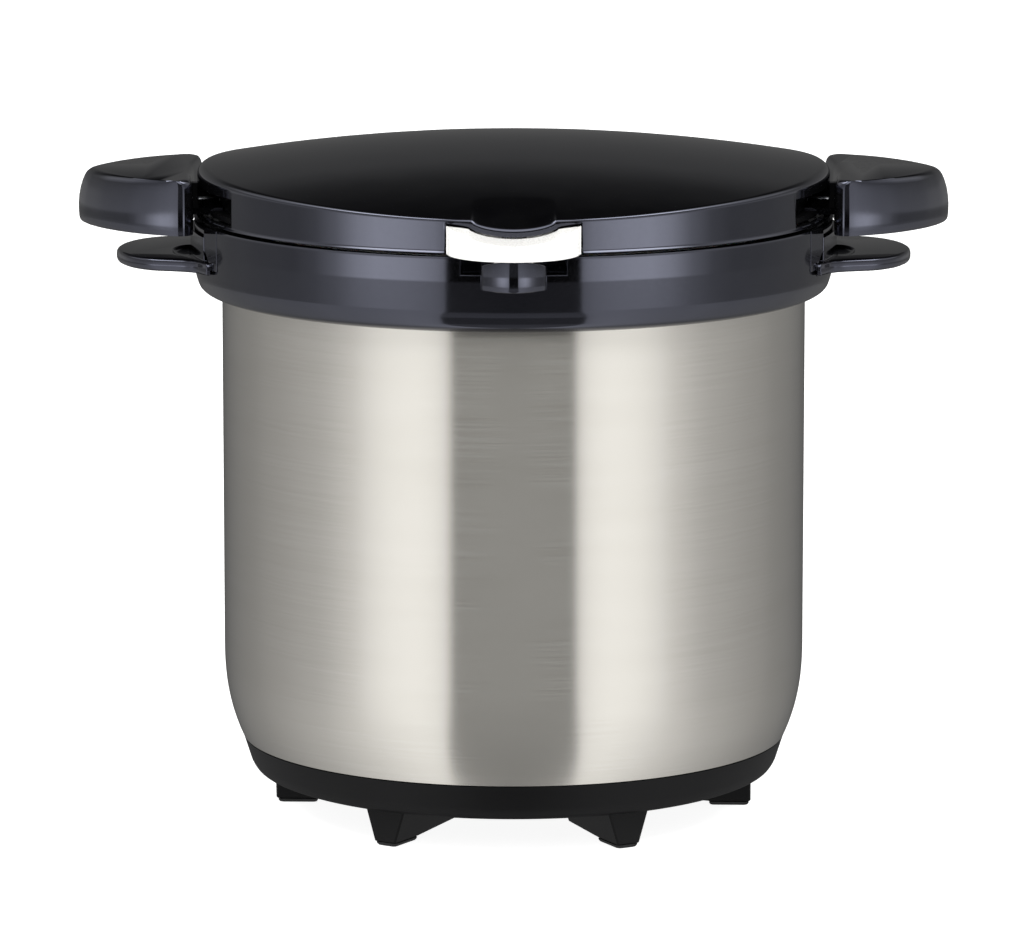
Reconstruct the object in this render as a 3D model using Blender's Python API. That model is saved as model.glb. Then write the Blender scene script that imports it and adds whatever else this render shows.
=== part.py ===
"""Thermal cooker: a vacuum-walled container with a hinged lid and an inner pot.

Lengths are metres and +Z is up. The thumb lever is at the front, towards -Y.
The origin lies on the tabletop, under the middle of the container.
"""
import math

import bmesh
import bpy
from mathutils import Matrix, Vector

for leftover in list(bpy.data.objects):
    bpy.data.objects.remove(leftover, do_unlink=True)

# Clearances, sheet and smoothness that the pieces share.
SEAT_GAP = 0.0003
PIN_GAP = 0.0003
OVERRUN = 0.004
SHEET = 0.0008
WELD_DISTANCE = 0.000001
RING_SEGMENTS = 40
INNER_SEGMENTS = 32
ROD_SEGMENTS = 12
ROD_TWIST = math.radians(7)
SMOOTH_ANGLE = math.radians(35)

# Driving sizes of the steel body.
BODY_RADIUS = 0.125
TAPER_TOP = 0.0728
TAPER_IN = 0.0077
TAPER_POWER = 2.4
TAPER_SHARES = (0.0, 0.12, 0.33, 0.62, 1.0)
FOOT_RADIUS = BODY_RADIUS - TAPER_IN
PAN_DROP = 0.0046
VACUUM_GAP = 0.0052

# Base cover, its ribs and the pads under them.
PAD_THICKNESS = 0.0016
RIM_BOTTOM = 0.0162
BASE_DEPTH = 0.016
BASE_TOP = RIM_BOTTOM + BASE_DEPTH
BASE_TOP_IN = 0.0008
BASE_WALL = 0.0025

# Floors over the base cover: shell, vessel and pot. The pot's height, with the
# room for its own lid, sets how tall the body is.
ROLL_BOTTOM = BASE_TOP + SEAT_GAP
SHELL_FLOOR = ROLL_BOTTOM - PAN_DROP
VESSEL_FLOOR = SHELL_FLOOR + SHEET + VACUUM_GAP
POT_BASE_THICKNESS = 0.003
POT_FLOOR = VESSEL_FLOOR + SHEET + 2 * SEAT_GAP + POT_BASE_THICKNESS
POT_HEIGHT = 0.1496
POT_TOP = POT_FLOOR + POT_HEIGHT
POT_LID_ROOM = 0.0622
BODY_TOP = POT_TOP + POT_LID_ROOM

# The mouth stack: shell, flange, gasket, collar web.
FLANGE_BOTTOM = BODY_TOP + SEAT_GAP
FLANGE_TOP = FLANGE_BOTTOM + SHEET
GASKET_THICKNESS = 0.002
GASKET_TOP = FLANGE_TOP + SEAT_GAP + GASKET_THICKNESS
WEB_THICKNESS = 0.0044
WEB_BOTTOM = GASKET_TOP + SEAT_GAP
COLLAR_TOP = WEB_BOTTOM + WEB_THICKNESS
COLLAR_STEP = 0.0117
COLLAR_RADIUS = BODY_RADIUS + COLLAR_STEP

# Lid stack above the collar.
LID_INSET = 0.0013
LID_RADIUS = COLLAR_RADIUS - LID_INSET
SEAM_GAP = 0.0006
COVER_BOTTOM = COLLAR_TOP + SEAM_GAP
SEAL_THICKNESS = 0.0011
SEAL_BOTTOM = COLLAR_TOP + SEAT_GAP
SEAL_TOP = SEAL_BOTTOM + SEAL_THICKNESS
LINER_FLANGE_BOTTOM = SEAL_TOP + SEAT_GAP
LINER_FLANGE_TOP = LINER_FLANGE_BOTTOM + SHEET
FRAME_BOTTOM = LINER_FLANGE_TOP + SEAT_GAP
FRAME_WEB = 0.0022

# Hinge at the back and lever pivot at the front.
FRONT_ANGLE = -math.pi / 2
FRONT_REACH = 0.025
HINGE_OUT = 0.012
HINGE_Y = COLLAR_RADIUS + HINGE_OUT
HINGE_RISE = 0.0028
HINGE_Z = COLLAR_TOP + HINGE_RISE
HINGE_PIN_RADIUS = 0.0025
LEVER_PIN_IN = 0.0058
LEVER_PIN_Y = -(LID_RADIUS - LEVER_PIN_IN)
LEVER_PIN_RISE = 0.0064
LEVER_PIN_Z = COLLAR_TOP + LEVER_PIN_RISE
LEVER_PIN_RADIUS = 0.0015

# Inner pot.
POT_SIDE_GAP = 0.0097
POT_RADIUS = BODY_RADIUS - 2 * SHEET - VACUUM_GAP - POT_SIDE_GAP
POT_SHEET = 0.0009
BAIL_DROP = 0.008


def look(name, colour, roughness, metallic=0.0):
    """A plain surface: base colour, roughness and metallic value."""
    surface = bpy.data.materials.new(name)
    surface.use_nodes = True
    shader = surface.node_tree.nodes["Principled BSDF"]
    shader.inputs["Base Color"].default_value = (*colour, 1.0)
    shader.inputs["Roughness"].default_value = roughness
    shader.inputs["Metallic"].default_value = metallic
    surface.diffuse_color = (*colour, 1.0)
    return surface


BRUSHED_STEEL = look("brushed_steel", (0.60, 0.59, 0.56), 0.32, 1.0)
POLISHED_STEEL = look("polished_steel", (0.66, 0.66, 0.65), 0.15, 1.0)
ZINC_STEEL = look("zinc_steel", (0.55, 0.56, 0.58), 0.35, 1.0)
GLOSS_BLACK = look("gloss_black", (0.012, 0.012, 0.016), 0.12)
SATIN_BLACK = look("satin_black", (0.014, 0.014, 0.015), 0.55)
RUBBER = look("rubber", (0.02, 0.02, 0.02), 0.85)
SILICONE = look("silicone", (0.45, 0.45, 0.44), 0.6)
WHITE_PLASTIC = look("white_plastic", (0.86, 0.86, 0.84), 0.25)
FOAM = look("foam", (0.78, 0.76, 0.68), 0.9)
LID_GLASS = look("lid_glass", (0.75, 0.82, 0.80), 0.05)

world_place = {}


def axis_frame(name, place, carrier=None):
    """An empty on a joint's axis that carries the pieces which move about it."""
    frame = bpy.data.objects.new(name, None)
    bpy.context.scene.collection.objects.link(frame)
    frame.parent = carrier
    start = world_place[carrier.name] if carrier else Vector((0, 0, 0))
    frame.location = Vector(place) - start
    world_place[name] = Vector(place)
    return frame


def link_shape(name, shape):
    """Turn a finished bmesh into a linked object."""
    bmesh.ops.recalc_face_normals(shape, faces=shape.faces)
    mesh = bpy.data.meshes.new(name)
    shape.to_mesh(mesh)
    shape.free()
    piece = bpy.data.objects.new(name, mesh)
    bpy.context.scene.collection.objects.link(piece)
    return piece


def dress(piece, surface):
    """Give a piece its surface and smooth shading with sharp corners kept."""
    piece.data.materials.append(surface)
    piece.data.shade_smooth()
    piece.data.set_sharp_from_angle(angle=SMOOTH_ANGLE)
    return piece


def solid(name, shape, surface, carrier):
    """A piece whose origin is its carrier's place."""
    bmesh.ops.translate(shape, verts=shape.verts, vec=-world_place[carrier.name])
    piece = link_shape(name, shape)
    piece.parent = carrier
    return dress(piece, surface)


def tool(name, shape):
    """A hidden shape that cuts or extends a piece."""
    piece = link_shape(name, shape)
    piece.hide_render = True
    piece.display_type = "WIRE"
    return piece


def combine(piece, other, operation):
    """Cut the other shape from the piece, or join it on."""
    step = piece.modifiers.new(other.name, "BOOLEAN")
    step.operation = operation
    step.object = other


def turned(profile, segments=RING_SEGMENTS):
    """A profile of (radius, height) points turned about Z."""
    shape = bmesh.new()
    points = [shape.verts.new((radius, 0, height)) for radius, height in profile]
    edges = [shape.edges.new(pair) for pair in zip(points, points[1:])]
    if profile[0][0] > 0:
        edges.append(shape.edges.new((points[-1], points[0])))
    bmesh.ops.spin(shape, geom=points + edges, axis=(0, 0, 1), cent=(0, 0, 0),
                   angle=2 * math.pi, steps=segments)
    bmesh.ops.remove_doubles(shape, verts=shape.verts, dist=WELD_DISTANCE)
    return shape


def ring_profile(inner, outer, bottom, top):
    """The rectangle that turns into a flat ring."""
    return [(inner, bottom), (outer, bottom), (outer, top), (inner, top)]


def rod(radius, start, end, segments=ROD_SEGMENTS):
    """A round bar from one point to another."""
    first = Vector(start)
    along = Vector(end) - first
    shape = bmesh.new()
    bmesh.ops.create_cone(shape, cap_ends=True, segments=segments, radius1=radius,
                          radius2=radius, depth=along.length)
    turn = along.to_track_quat("Z", "Y").to_matrix().to_4x4()
    twist = Matrix.Rotation(ROD_TWIST, 4, "Z")
    middle = Matrix.Translation(first + along / 2)
    bmesh.ops.transform(shape, verts=shape.verts, matrix=middle @ turn @ twist)
    return shape


def block(low, high):
    """A box between two corners."""
    size = Vector(high) - Vector(low)
    shape = bmesh.new()
    bmesh.ops.create_cube(shape, size=1)
    stretch = Matrix.Diagonal((*size, 1))
    middle = Matrix.Translation(Vector(low) + size / 2)
    bmesh.ops.transform(shape, verts=shape.verts, matrix=middle @ stretch)
    return shape


def prism(outline, travel):
    """An outline of 3D points pushed along a vector."""
    shape = bmesh.new()
    face = shape.faces.new([shape.verts.new(point) for point in outline])
    pushed = bmesh.ops.extrude_face_region(shape, geom=[face])["geom"]
    moved = [item for item in pushed if isinstance(item, bmesh.types.BMVert)]
    bmesh.ops.translate(shape, verts=moved, vec=travel)
    return shape


def stack(rings):
    """A skin over rings of 3D points, closed at both ends; one point makes a pole."""
    shape = bmesh.new()
    rows = [[shape.verts.new(point) for point in ring] for ring in rings]
    for low, high in zip(rows, rows[1:]):
        count = max(len(low), len(high))
        for index in range(count):
            after = (index + 1) % count
            corners = [low[index % len(low)], low[after % len(low)],
                       high[after % len(high)], high[index % len(high)]]
            shape.faces.new(list(dict.fromkeys(corners)))
    for row in (rows[0], rows[-1]):
        if len(row) > 1:
            shape.faces.new(row)
    return shape


def polar(radius, angle, height):
    """A point at an angle from +X."""
    return (radius * math.cos(angle), radius * math.sin(angle), height)


def corner_points(radius, floor, width, rise, steps=2):
    """Points of a rounded corner from a floor up to a wall."""
    turns = [math.pi / 2 * step / steps for step in range(steps + 1)]
    return [(radius - width * (1 - math.sin(turn)), floor + rise * (1 - math.cos(turn)))
            for turn in turns]


# Carriers: one for each body that moves, on its joint's axis.
container = axis_frame("container_place", (0, 0, 0))
pin_carrier = axis_frame("hinge_pin_place", (0, HINGE_Y, HINGE_Z), container)
lid = axis_frame("lid_axis", (0, HINGE_Y, HINGE_Z), pin_carrier)
lever_axis = axis_frame("lever_axis", (0, LEVER_PIN_Y, LEVER_PIN_Z), lid)

# Outer shell: one drawn steel skin, tapered to its foot and dished underneath.
ROLL_RISE = 0.001
FOOT_Z = ROLL_BOTTOM + ROLL_RISE
ROLL_IN = 0.0009
PAN_IN = 0.0133
PAN_RADIUS = FOOT_RADIUS - PAN_IN
PAN_EDGE_IN = 0.0051
INNER_TAPER_SHARES = (0.0, 0.33, 1.0)
INNER_WALL = 1.5 * SHEET


def shell_radius(height):
    """Radius of the steel skin at a height."""
    if height >= TAPER_TOP:
        return BODY_RADIUS
    drop_share = (TAPER_TOP - height) / (TAPER_TOP - FOOT_Z)
    return BODY_RADIUS - TAPER_IN * drop_share ** TAPER_POWER


def taper_points(shares, inset):
    """Points up the taper, from its foot to its top."""
    heights = [FOOT_Z + (TAPER_TOP - FOOT_Z) * share for share in shares]
    return [(shell_radius(height) - inset, height) for height in heights]


def outer_shell():
    pan_edge = FOOT_RADIUS - PAN_EDGE_IN
    inner_side = taper_points(INNER_TAPER_SHARES[1:], INNER_WALL)
    inner_side[-1] = (BODY_RADIUS - SHEET, TAPER_TOP)
    profile = [(0, SHELL_FLOOR), (PAN_RADIUS, SHELL_FLOOR), (pan_edge, ROLL_BOTTOM),
               (FOOT_RADIUS - ROLL_IN, ROLL_BOTTOM)]
    profile += taper_points(TAPER_SHARES, 0)
    profile += [(BODY_RADIUS, BODY_TOP), (BODY_RADIUS - SHEET, BODY_TOP)]
    profile += inner_side[::-1]
    profile += [(FOOT_RADIUS - INNER_WALL, FOOT_Z + SHEET), (pan_edge - SHEET, FOOT_Z),
                (PAN_RADIUS - SHEET, SHELL_FLOOR + SHEET), (0, SHELL_FLOOR + SHEET)]
    return solid("outer_shell", turned(profile), BRUSHED_STEEL, container)


# Inner vessel: the steel cup that holds the pot, with a flange over the shell's edge.
VESSEL_RADIUS = BODY_RADIUS - SHEET - VACUUM_GAP
VESSEL_CORNER_WIDTH = 0.021
VESSEL_CORNER_RISE = 0.028


def inner_vessel():
    outside = corner_points(VESSEL_RADIUS, VESSEL_FLOOR, VESSEL_CORNER_WIDTH,
                            VESSEL_CORNER_RISE)
    inside = corner_points(VESSEL_RADIUS - SHEET, VESSEL_FLOOR + SHEET,
                           VESSEL_CORNER_WIDTH, VESSEL_CORNER_RISE)
    profile = [(0, VESSEL_FLOOR)] + outside
    profile += [(VESSEL_RADIUS, FLANGE_BOTTOM), (BODY_RADIUS, FLANGE_BOTTOM),
                (BODY_RADIUS, FLANGE_TOP), (VESSEL_RADIUS - SHEET, FLANGE_TOP)]
    profile += inside[::-1] + [(0, VESSEL_FLOOR + SHEET)]
    return solid("inner_vessel", turned(profile), POLISHED_STEEL, container)


# Seal cap over the point where the vacuum was drawn, and the bracket ring that
# is spot-welded under the shell and takes the base screws.
SEAL_CAP_RADIUS = 0.009
SEAL_CAP_THICKNESS = 0.002
BRACKET_SHEET = 0.0012
BASE_SCREW_CIRCLE = 0.057
BRACKET_LAND = 0.005
BRACKET_INNER_RADIUS = BASE_SCREW_CIRCLE - BRACKET_LAND
BRACKET_OUTER_RADIUS = BASE_SCREW_CIRCLE + BRACKET_LAND
BASE_SCREW_ANGLES = [math.radians(90 + 120 * index) for index in range(3)]
UNDER_SHELL = SHELL_FLOOR - SEAT_GAP

SCREW_RADIUS = 0.0015
SCREW_HOLE_RADIUS = SCREW_RADIUS + PIN_GAP
SCREW_HEAD_RADIUS = 0.0028
SCREW_HEAD_HEIGHT = 0.0018
SCREW_SEGMENTS = 8


def screw(length):
    """A pan-head screw along Z: head below zero, shank above."""
    profile = [(0, -SCREW_HEAD_HEIGHT), (SCREW_HEAD_RADIUS, -SCREW_HEAD_HEIGHT),
               (SCREW_HEAD_RADIUS, 0), (SCREW_RADIUS, 0), (SCREW_RADIUS, length),
               (0, length)]
    return turned(profile, SCREW_SEGMENTS)


def underside_parts():
    cap = rod(SEAL_CAP_RADIUS, (0, 0, UNDER_SHELL - SEAL_CAP_THICKNESS),
              (0, 0, UNDER_SHELL), INNER_SEGMENTS)
    solid("vacuum_seal_cap", cap, POLISHED_STEEL, container)
    ring = ring_profile(BRACKET_INNER_RADIUS, BRACKET_OUTER_RADIUS,
                        UNDER_SHELL - BRACKET_SHEET, UNDER_SHELL)
    bracket = solid("base_bracket", turned(ring, INNER_SEGMENTS), ZINC_STEEL, container)
    for angle in BASE_SCREW_ANGLES:
        start = polar(BASE_SCREW_CIRCLE, angle, UNDER_SHELL - BRACKET_SHEET - OVERRUN)
        end = polar(BASE_SCREW_CIRCLE, angle, UNDER_SHELL + OVERRUN)
        combine(bracket, tool("bracket_hole", rod(SCREW_HOLE_RADIUS, start, end)),
                "DIFFERENCE")


# Base cover: a black moulded pan whose six radial ribs are the feet.
BASE_RIM_IN = 0.0113
BASE_RIM_RADIUS = FOOT_RADIUS - BASE_RIM_IN
RIM_SLOPE_IN = 0.005
RIM_SLOPE_RISE = 0.002
RIM_WAIST_IN = 0.0021
RIM_WAIST_RISE = 0.0036
RIM_LAND = 0.0025
FLOOR_RISE = 0.0042
BASE_FLOOR_BOTTOM = RIM_BOTTOM + FLOOR_RISE
BASE_FLOOR_TOP = BASE_FLOOR_BOTTOM + BASE_WALL
BASE_LIP = 0.0007
RIB_ANGLES = [math.radians(60 * index) for index in range(6)]
RIB_IN = 0.003
RIB_OUTER_RADIUS = BASE_RIM_RADIUS - RIB_IN
LONG_RIB_INNER_RADIUS = 0.038
SHORT_RIB_INNER_RADIUS = 0.061
RIB_TOP_WIDTH = 0.0175
RIB_BOTTOM_WIDTH = 0.0092
RIB_BOTTOM = PAD_THICKNESS + SEAT_GAP
RIB_TOP = BASE_FLOOR_BOTTOM + BASE_WALL / 2
RIB_SLOPE_ANGLE = math.radians(5)
PAD_LENGTH = 0.018
PAD_BOTTOM_WIDTH = 0.0085
PAD_EDGE_IN = 0.0008


def radial_section(angle, radius, section):
    """A section of (width, height) points stood across a radius."""
    outward = Vector((math.cos(angle), math.sin(angle), 0))
    across = Vector((-math.sin(angle), math.cos(angle), 0))
    return [outward * radius + across * offset + Vector((0, 0, height))
            for offset, height in section]


def trapezoid(top_width, bottom_width, bottom, top):
    """A section that narrows downwards."""
    return [(-bottom_width / 2, bottom), (bottom_width / 2, bottom),
            (top_width / 2, top), (-top_width / 2, top)]


def rib(angle, inner):
    """A foot rib: level over its pad, then rising towards the middle."""
    level_radius = RIB_OUTER_RADIUS - PAD_LENGTH
    inner_bottom = RIB_BOTTOM + (level_radius - inner) * math.tan(RIB_SLOPE_ANGLE)
    rings = []
    for radius, bottom in ((RIB_OUTER_RADIUS, RIB_BOTTOM), (level_radius, RIB_BOTTOM),
                           (inner, inner_bottom)):
        raised_share = (bottom - RIB_BOTTOM) / (RIB_TOP - RIB_BOTTOM)
        width = RIB_BOTTOM_WIDTH + (RIB_TOP_WIDTH - RIB_BOTTOM_WIDTH) * raised_share
        rings.append(radial_section(angle, radius,
                                    trapezoid(RIB_TOP_WIDTH, width, bottom, RIB_TOP)))
    return stack(rings)


def base_cover():
    top_radius = FOOT_RADIUS - BASE_TOP_IN
    inner_top = top_radius - BASE_WALL
    waist = top_radius - RIM_WAIST_IN
    slope_radius = BASE_RIM_RADIUS + RIM_SLOPE_IN
    profile = [(0, BASE_FLOOR_BOTTOM),
               (BASE_RIM_RADIUS - 2 * RIM_LAND, BASE_FLOOR_BOTTOM),
               (BASE_RIM_RADIUS - RIM_LAND, RIM_BOTTOM),
               (BASE_RIM_RADIUS, RIM_BOTTOM),
               (slope_radius, RIM_BOTTOM + RIM_SLOPE_RISE),
               (waist, RIM_BOTTOM + RIM_WAIST_RISE),
               (top_radius, BASE_TOP - BASE_LIP),
               (top_radius, BASE_TOP),
               (inner_top, BASE_TOP),
               (inner_top, BASE_FLOOR_TOP + FLOOR_RISE),
               (BASE_RIM_RADIUS, BASE_FLOOR_TOP),
               (0, BASE_FLOOR_TOP)]
    cover = solid("base_cover", turned(profile), SATIN_BLACK, container)
    for index, angle in enumerate(RIB_ANGLES):
        inner = SHORT_RIB_INNER_RADIUS if index % 2 else LONG_RIB_INNER_RADIUS
        combine(cover, tool("rib", rib(angle, inner)), "UNION")
    for index, angle in enumerate(BASE_SCREW_ANGLES):
        start = polar(BASE_SCREW_CIRCLE, angle, BASE_FLOOR_BOTTOM - OVERRUN)
        end = polar(BASE_SCREW_CIRCLE, angle, BASE_FLOOR_TOP + OVERRUN / 2)
        combine(cover, tool("cover_hole", rod(SCREW_HOLE_RADIUS, start, end)), "DIFFERENCE")
        length = UNDER_SHELL - BASE_FLOOR_BOTTOM
        shape = screw(length)
        middle = Vector(polar(BASE_SCREW_CIRCLE, angle, BASE_FLOOR_BOTTOM - SEAT_GAP))
        bmesh.ops.translate(shape, verts=shape.verts, vec=middle)
        solid(f"base_screw_{index + 1}", shape, ZINC_STEEL, container)


def foot_pads():
    outer = RIB_OUTER_RADIUS - PAD_EDGE_IN
    section = trapezoid(RIB_BOTTOM_WIDTH, PAD_BOTTOM_WIDTH, 0, PAD_THICKNESS)
    for index, angle in enumerate(RIB_ANGLES):
        pad = stack([radial_section(angle, outer, section),
                     radial_section(angle, RIB_OUTER_RADIUS - PAD_LENGTH, section)])
        solid(f"foot_pad_{index + 1}", pad, RUBBER, container)


# Collar: a C-section moulding that grips the shell below and the gasket above.
COLLAR_BOTTOM_RISE = 0.0326
COLLAR_BOTTOM = COLLAR_TOP - COLLAR_BOTTOM_RISE
COLLAR_WALL = 0.0027
COLLAR_BORE = BODY_RADIUS + SEAT_GAP
MOUTH_RADIUS = VESSEL_RADIUS
COLLAR_ROUND_SHARES = ((0.40, 0.0), (0.74, 0.18), (0.92, 0.55), (1.0, 1.0))
COLLAR_ROUND_RISE = 0.0091
COLLAR_EDGE = 0.0007
HEAD_SEAT = 0.0008
NOTCH_WIDTH = 0.0416
NOTCH_DROP = 0.0067
NOTCH_DEPTH = 0.007
GASKET_IN = 0.0006
GASKET_WIDTH = 0.0048


def collar_bore_tool(name, low, high):
    """A faceted cylinder just outside the collar, with the same facets as it."""
    outline = [(0, low), (COLLAR_RADIUS + SEAT_GAP, low),
               (COLLAR_RADIUS + SEAT_GAP, high), (0, high)]
    return tool(name, turned(outline))


def collar():
    inner_wall = COLLAR_RADIUS - COLLAR_WALL
    outer = [(BODY_RADIUS + COLLAR_STEP * out, COLLAR_BOTTOM + COLLAR_ROUND_RISE * up)
             for out, up in COLLAR_ROUND_SHARES]
    hollow = [(radius - COLLAR_WALL, height + COLLAR_WALL * (1 - up))
              for (radius, height), (_, up) in zip(outer, COLLAR_ROUND_SHARES)]
    profile = [(COLLAR_BORE, COLLAR_BOTTOM)] + outer
    profile += [(COLLAR_RADIUS, COLLAR_TOP - COLLAR_EDGE),
                (COLLAR_RADIUS - COLLAR_EDGE, COLLAR_TOP),
                (MOUTH_RADIUS, COLLAR_TOP), (MOUTH_RADIUS, WEB_BOTTOM),
                (inner_wall, WEB_BOTTOM)]
    profile += [hollow[3], hollow[2], hollow[0], (COLLAR_BORE, COLLAR_BOTTOM + COLLAR_WALL)]
    piece = solid("collar", turned(profile), GLOSS_BLACK, container)
    notch = block((-NOTCH_WIDTH / 2, -COLLAR_RADIUS - OVERRUN, COLLAR_TOP - NOTCH_DROP),
                  (NOTCH_WIDTH / 2, NOTCH_DEPTH - COLLAR_RADIUS, COLLAR_TOP + OVERRUN))
    combine(piece, tool("collar_notch", notch), "DIFFERENCE")
    gasket_outer = BODY_RADIUS - GASKET_IN
    gasket = ring_profile(gasket_outer - GASKET_WIDTH, gasket_outer, FLANGE_TOP + SEAT_GAP,
                          GASKET_TOP)
    solid("collar_gasket", turned(gasket, INNER_SEGMENTS), SILICONE, container)
    return piece


def side_screw(name, piece_list, carrier, angle, height, seat_radius, length):
    """A screw driven outwards from inside a ring, and its holes in the pieces."""
    turn = Matrix.Rotation(angle, 4, "Z")
    lie = Matrix.Rotation(math.pi / 2, 4, "Y")
    place = turn @ Matrix.Translation((seat_radius, 0, height)) @ lie
    shape = screw(length)
    bmesh.ops.transform(shape, verts=shape.verts, matrix=place)
    solid(name, shape, ZINC_STEEL, carrier)
    for piece in piece_list:
        hole = rod(SCREW_HOLE_RADIUS, polar(seat_radius - OVERRUN / 4, angle, height),
                   polar(seat_radius + length + PIN_GAP, angle, height))
        combine(piece, tool(name + "_hole", hole), "DIFFERENCE")


# Grips: the two lower handles, a thin plate with a root flange on the collar.
GRIP_TOP_DROP = 0.016
GRIP_THICKNESS = 0.0061
GRIP_TOP = COLLAR_TOP - GRIP_TOP_DROP
GRIP_REACH = 0.0335
GRIP_HALF_WIDTH = 0.046
GRIP_OUTLINE_SHARES = ((-0.3, 1.0), (-0.06, 0.965), (0.1, 0.855), (0.32, 0.775),
                       (0.59, 0.66), (0.81, 0.48), (0.955, 0.24), (1.0, 0.0))
GRIP_LEVELS = ((0.0, 0.0016), (0.3, 0.0), (0.75, 0.0), (1.0, 0.0012))
ROOT_THICKNESS = 0.003
ROOT_TOP_DROP = 0.0051
GUSSET_WIDTH = 0.0045
GUSSET_THICKNESS = 0.0042
GUSSET_TOP_DROP = 0.0006
GRIP_SCREW_TURN = math.radians(9)
GRIP_SCREW_LENGTH = 0.017
COLLAR_SEAT = COLLAR_RADIUS - COLLAR_WALL - HEAD_SEAT


def mirrored_outline(start, reach, half_width, shares, inset):
    """A plan outline, mirrored about X, from shares of its reach and half width."""
    half = [(start + (reach - inset) * out, (half_width - inset) * side)
            for out, side in shares]
    return half + [(x, -y) for x, y in reversed(half) if y > 0]


def sector(inner, outer, half_width, bottom, top, steps=6):
    """A curved plate between two radii, within a half width of the X axis."""
    inner_turns = math.asin(half_width / inner)
    outer_turns = math.asin(half_width / outer)
    spread = [2 * step / steps - 1 for step in range(steps + 1)]
    outline = [polar(outer, outer_turns * share, bottom) for share in spread]
    outline += [polar(inner, inner_turns * share, bottom) for share in reversed(spread)]
    return prism(outline, (0, 0, top - bottom))


def face_side(shape, side):
    """Turn a shape made for +X to the side where it belongs."""
    turn = Matrix.Rotation(0 if side > 0 else math.pi, 4, "Z")
    bmesh.ops.transform(shape, verts=shape.verts, matrix=turn)
    return shape


def grip(name, side, collar_piece):
    rings = []
    for up, inset in GRIP_LEVELS:
        height = GRIP_TOP - GRIP_THICKNESS * (1 - up)
        outline = mirrored_outline(COLLAR_RADIUS, GRIP_REACH, GRIP_HALF_WIDTH,
                                   GRIP_OUTLINE_SHARES, inset)
        rings.append([(x, y, height) for x, y in outline])
    piece = solid(name, face_side(stack(rings), side), GLOSS_BLACK, container)
    root_inner = COLLAR_RADIUS - ROOT_THICKNESS
    root_outer = COLLAR_RADIUS + ROOT_THICKNESS
    root_bottom = GRIP_TOP - GRIP_THICKNESS / 2
    root = sector(root_inner, root_outer, GRIP_HALF_WIDTH - GUSSET_WIDTH / 2, root_bottom,
                  COLLAR_TOP - ROOT_TOP_DROP)
    combine(piece, tool(name + "_root", face_side(root, side)), "UNION")
    across = GRIP_HALF_WIDTH - GUSSET_WIDTH
    gusset_x = math.sqrt(COLLAR_RADIUS ** 2 - GRIP_HALF_WIDTH ** 2)
    for end in (-1, 1):
        low = min(end * across, end * GRIP_HALF_WIDTH)
        gusset = block((gusset_x - ROOT_THICKNESS, low, root_bottom),
                       (gusset_x + GUSSET_THICKNESS, low + GUSSET_WIDTH,
                        COLLAR_TOP - GUSSET_TOP_DROP))
        combine(piece, tool(name + "_gusset", face_side(gusset, side)), "UNION")
    clear = collar_bore_tool(name + "_seat", COLLAR_BOTTOM, COLLAR_TOP + OVERRUN)
    combine(piece, clear, "DIFFERENCE")
    middle = 0 if side > 0 else math.pi
    for number, turn in enumerate((-GRIP_SCREW_TURN, GRIP_SCREW_TURN), start=1):
        side_screw(f"{name}_screw_{number}", (collar_piece, piece), container,
                   middle + turn, GRIP_TOP - GRIP_THICKNESS / 2, COLLAR_SEAT,
                   GRIP_SCREW_LENGTH)


# Latch catch: the finger tab on the collar, under the lever.
TAB_HALF_WIDTH = 0.01335
TAB_REACH = 0.0184
TAB_SIDE_REACH = 0.004
TAB_TOP_DROP = 0.0024
TAB_HEIGHT = 0.0111
TAB_EDGE = 0.0009
TAB_STEPS = 10
TAB_SCREW_TURN = math.radians(3.2)
TAB_SCREW_LENGTH = 0.014


def front_arc(half_width, side_y, front_y, steps):
    """Half an ellipse in plan, from the right side round the front to the left."""
    turns = [math.pi * step / steps for step in range(steps + 1)]
    return [(half_width * math.cos(turn), side_y - (side_y - front_y) * math.sin(turn))
            for turn in turns]


def latch_catch(collar_piece):
    side_y = -COLLAR_RADIUS - TAB_SIDE_REACH / 2
    front_y = -COLLAR_RADIUS - TAB_REACH
    back_y = -COLLAR_RADIUS + TAB_SIDE_REACH
    top = COLLAR_TOP - TAB_TOP_DROP
    levels = ((top - TAB_HEIGHT, TAB_EDGE), (top - TAB_HEIGHT + TAB_EDGE, 0),
              (top - TAB_EDGE, 0), (top, TAB_EDGE))
    rings = []
    for height, inset in levels:
        half = TAB_HALF_WIDTH - inset
        outline = front_arc(half, side_y, front_y + inset, TAB_STEPS)
        outline += [(-half, back_y), (half, back_y)]
        rings.append([(x, y, height) for x, y in outline])
    piece = solid("latch_catch", stack(rings), GLOSS_BLACK, container)
    clear = collar_bore_tool("catch_seat", COLLAR_BOTTOM, COLLAR_TOP + OVERRUN)
    combine(piece, clear, "DIFFERENCE")
    for number, turn in enumerate((-TAB_SCREW_TURN, TAB_SCREW_TURN), start=1):
        side_screw(f"catch_screw_{number}", (collar_piece, piece), container,
                   FRONT_ANGLE + turn, COLLAR_TOP - NOTCH_DROP - 2 * SCREW_RADIUS,
                   COLLAR_SEAT, TAB_SCREW_LENGTH)


# Hinge bracket: two cheeks with open slots that the hinge pin drops into.
HINGE_HALF_WIDTH = 0.030
KNUCKLE_HALF_WIDTH = 0.0153
KNUCKLE_SIDE_GAP = 0.0005
KNUCKLE_RADIUS = 0.0055
BRACKET_BOTTOM_DROP = 0.0226
BRACKET_SHELF_DROP = 0.0064
BRACKET_SLOPE_SHARES = ((-1.5, 0.0), (0.0, 0.0), (0.85, 0.32), (1.0, 0.64))
CHEEK_FRONT_IN = 0.0085
CHEEK_ARC_STEPS = 8
BRACKET_SCREW_TURN = math.radians(9.5)
BRACKET_SCREW_DROP = 0.011
BRACKET_SCREW_LENGTH = 0.014
HINGE_PIN_END = 0.0005


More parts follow.
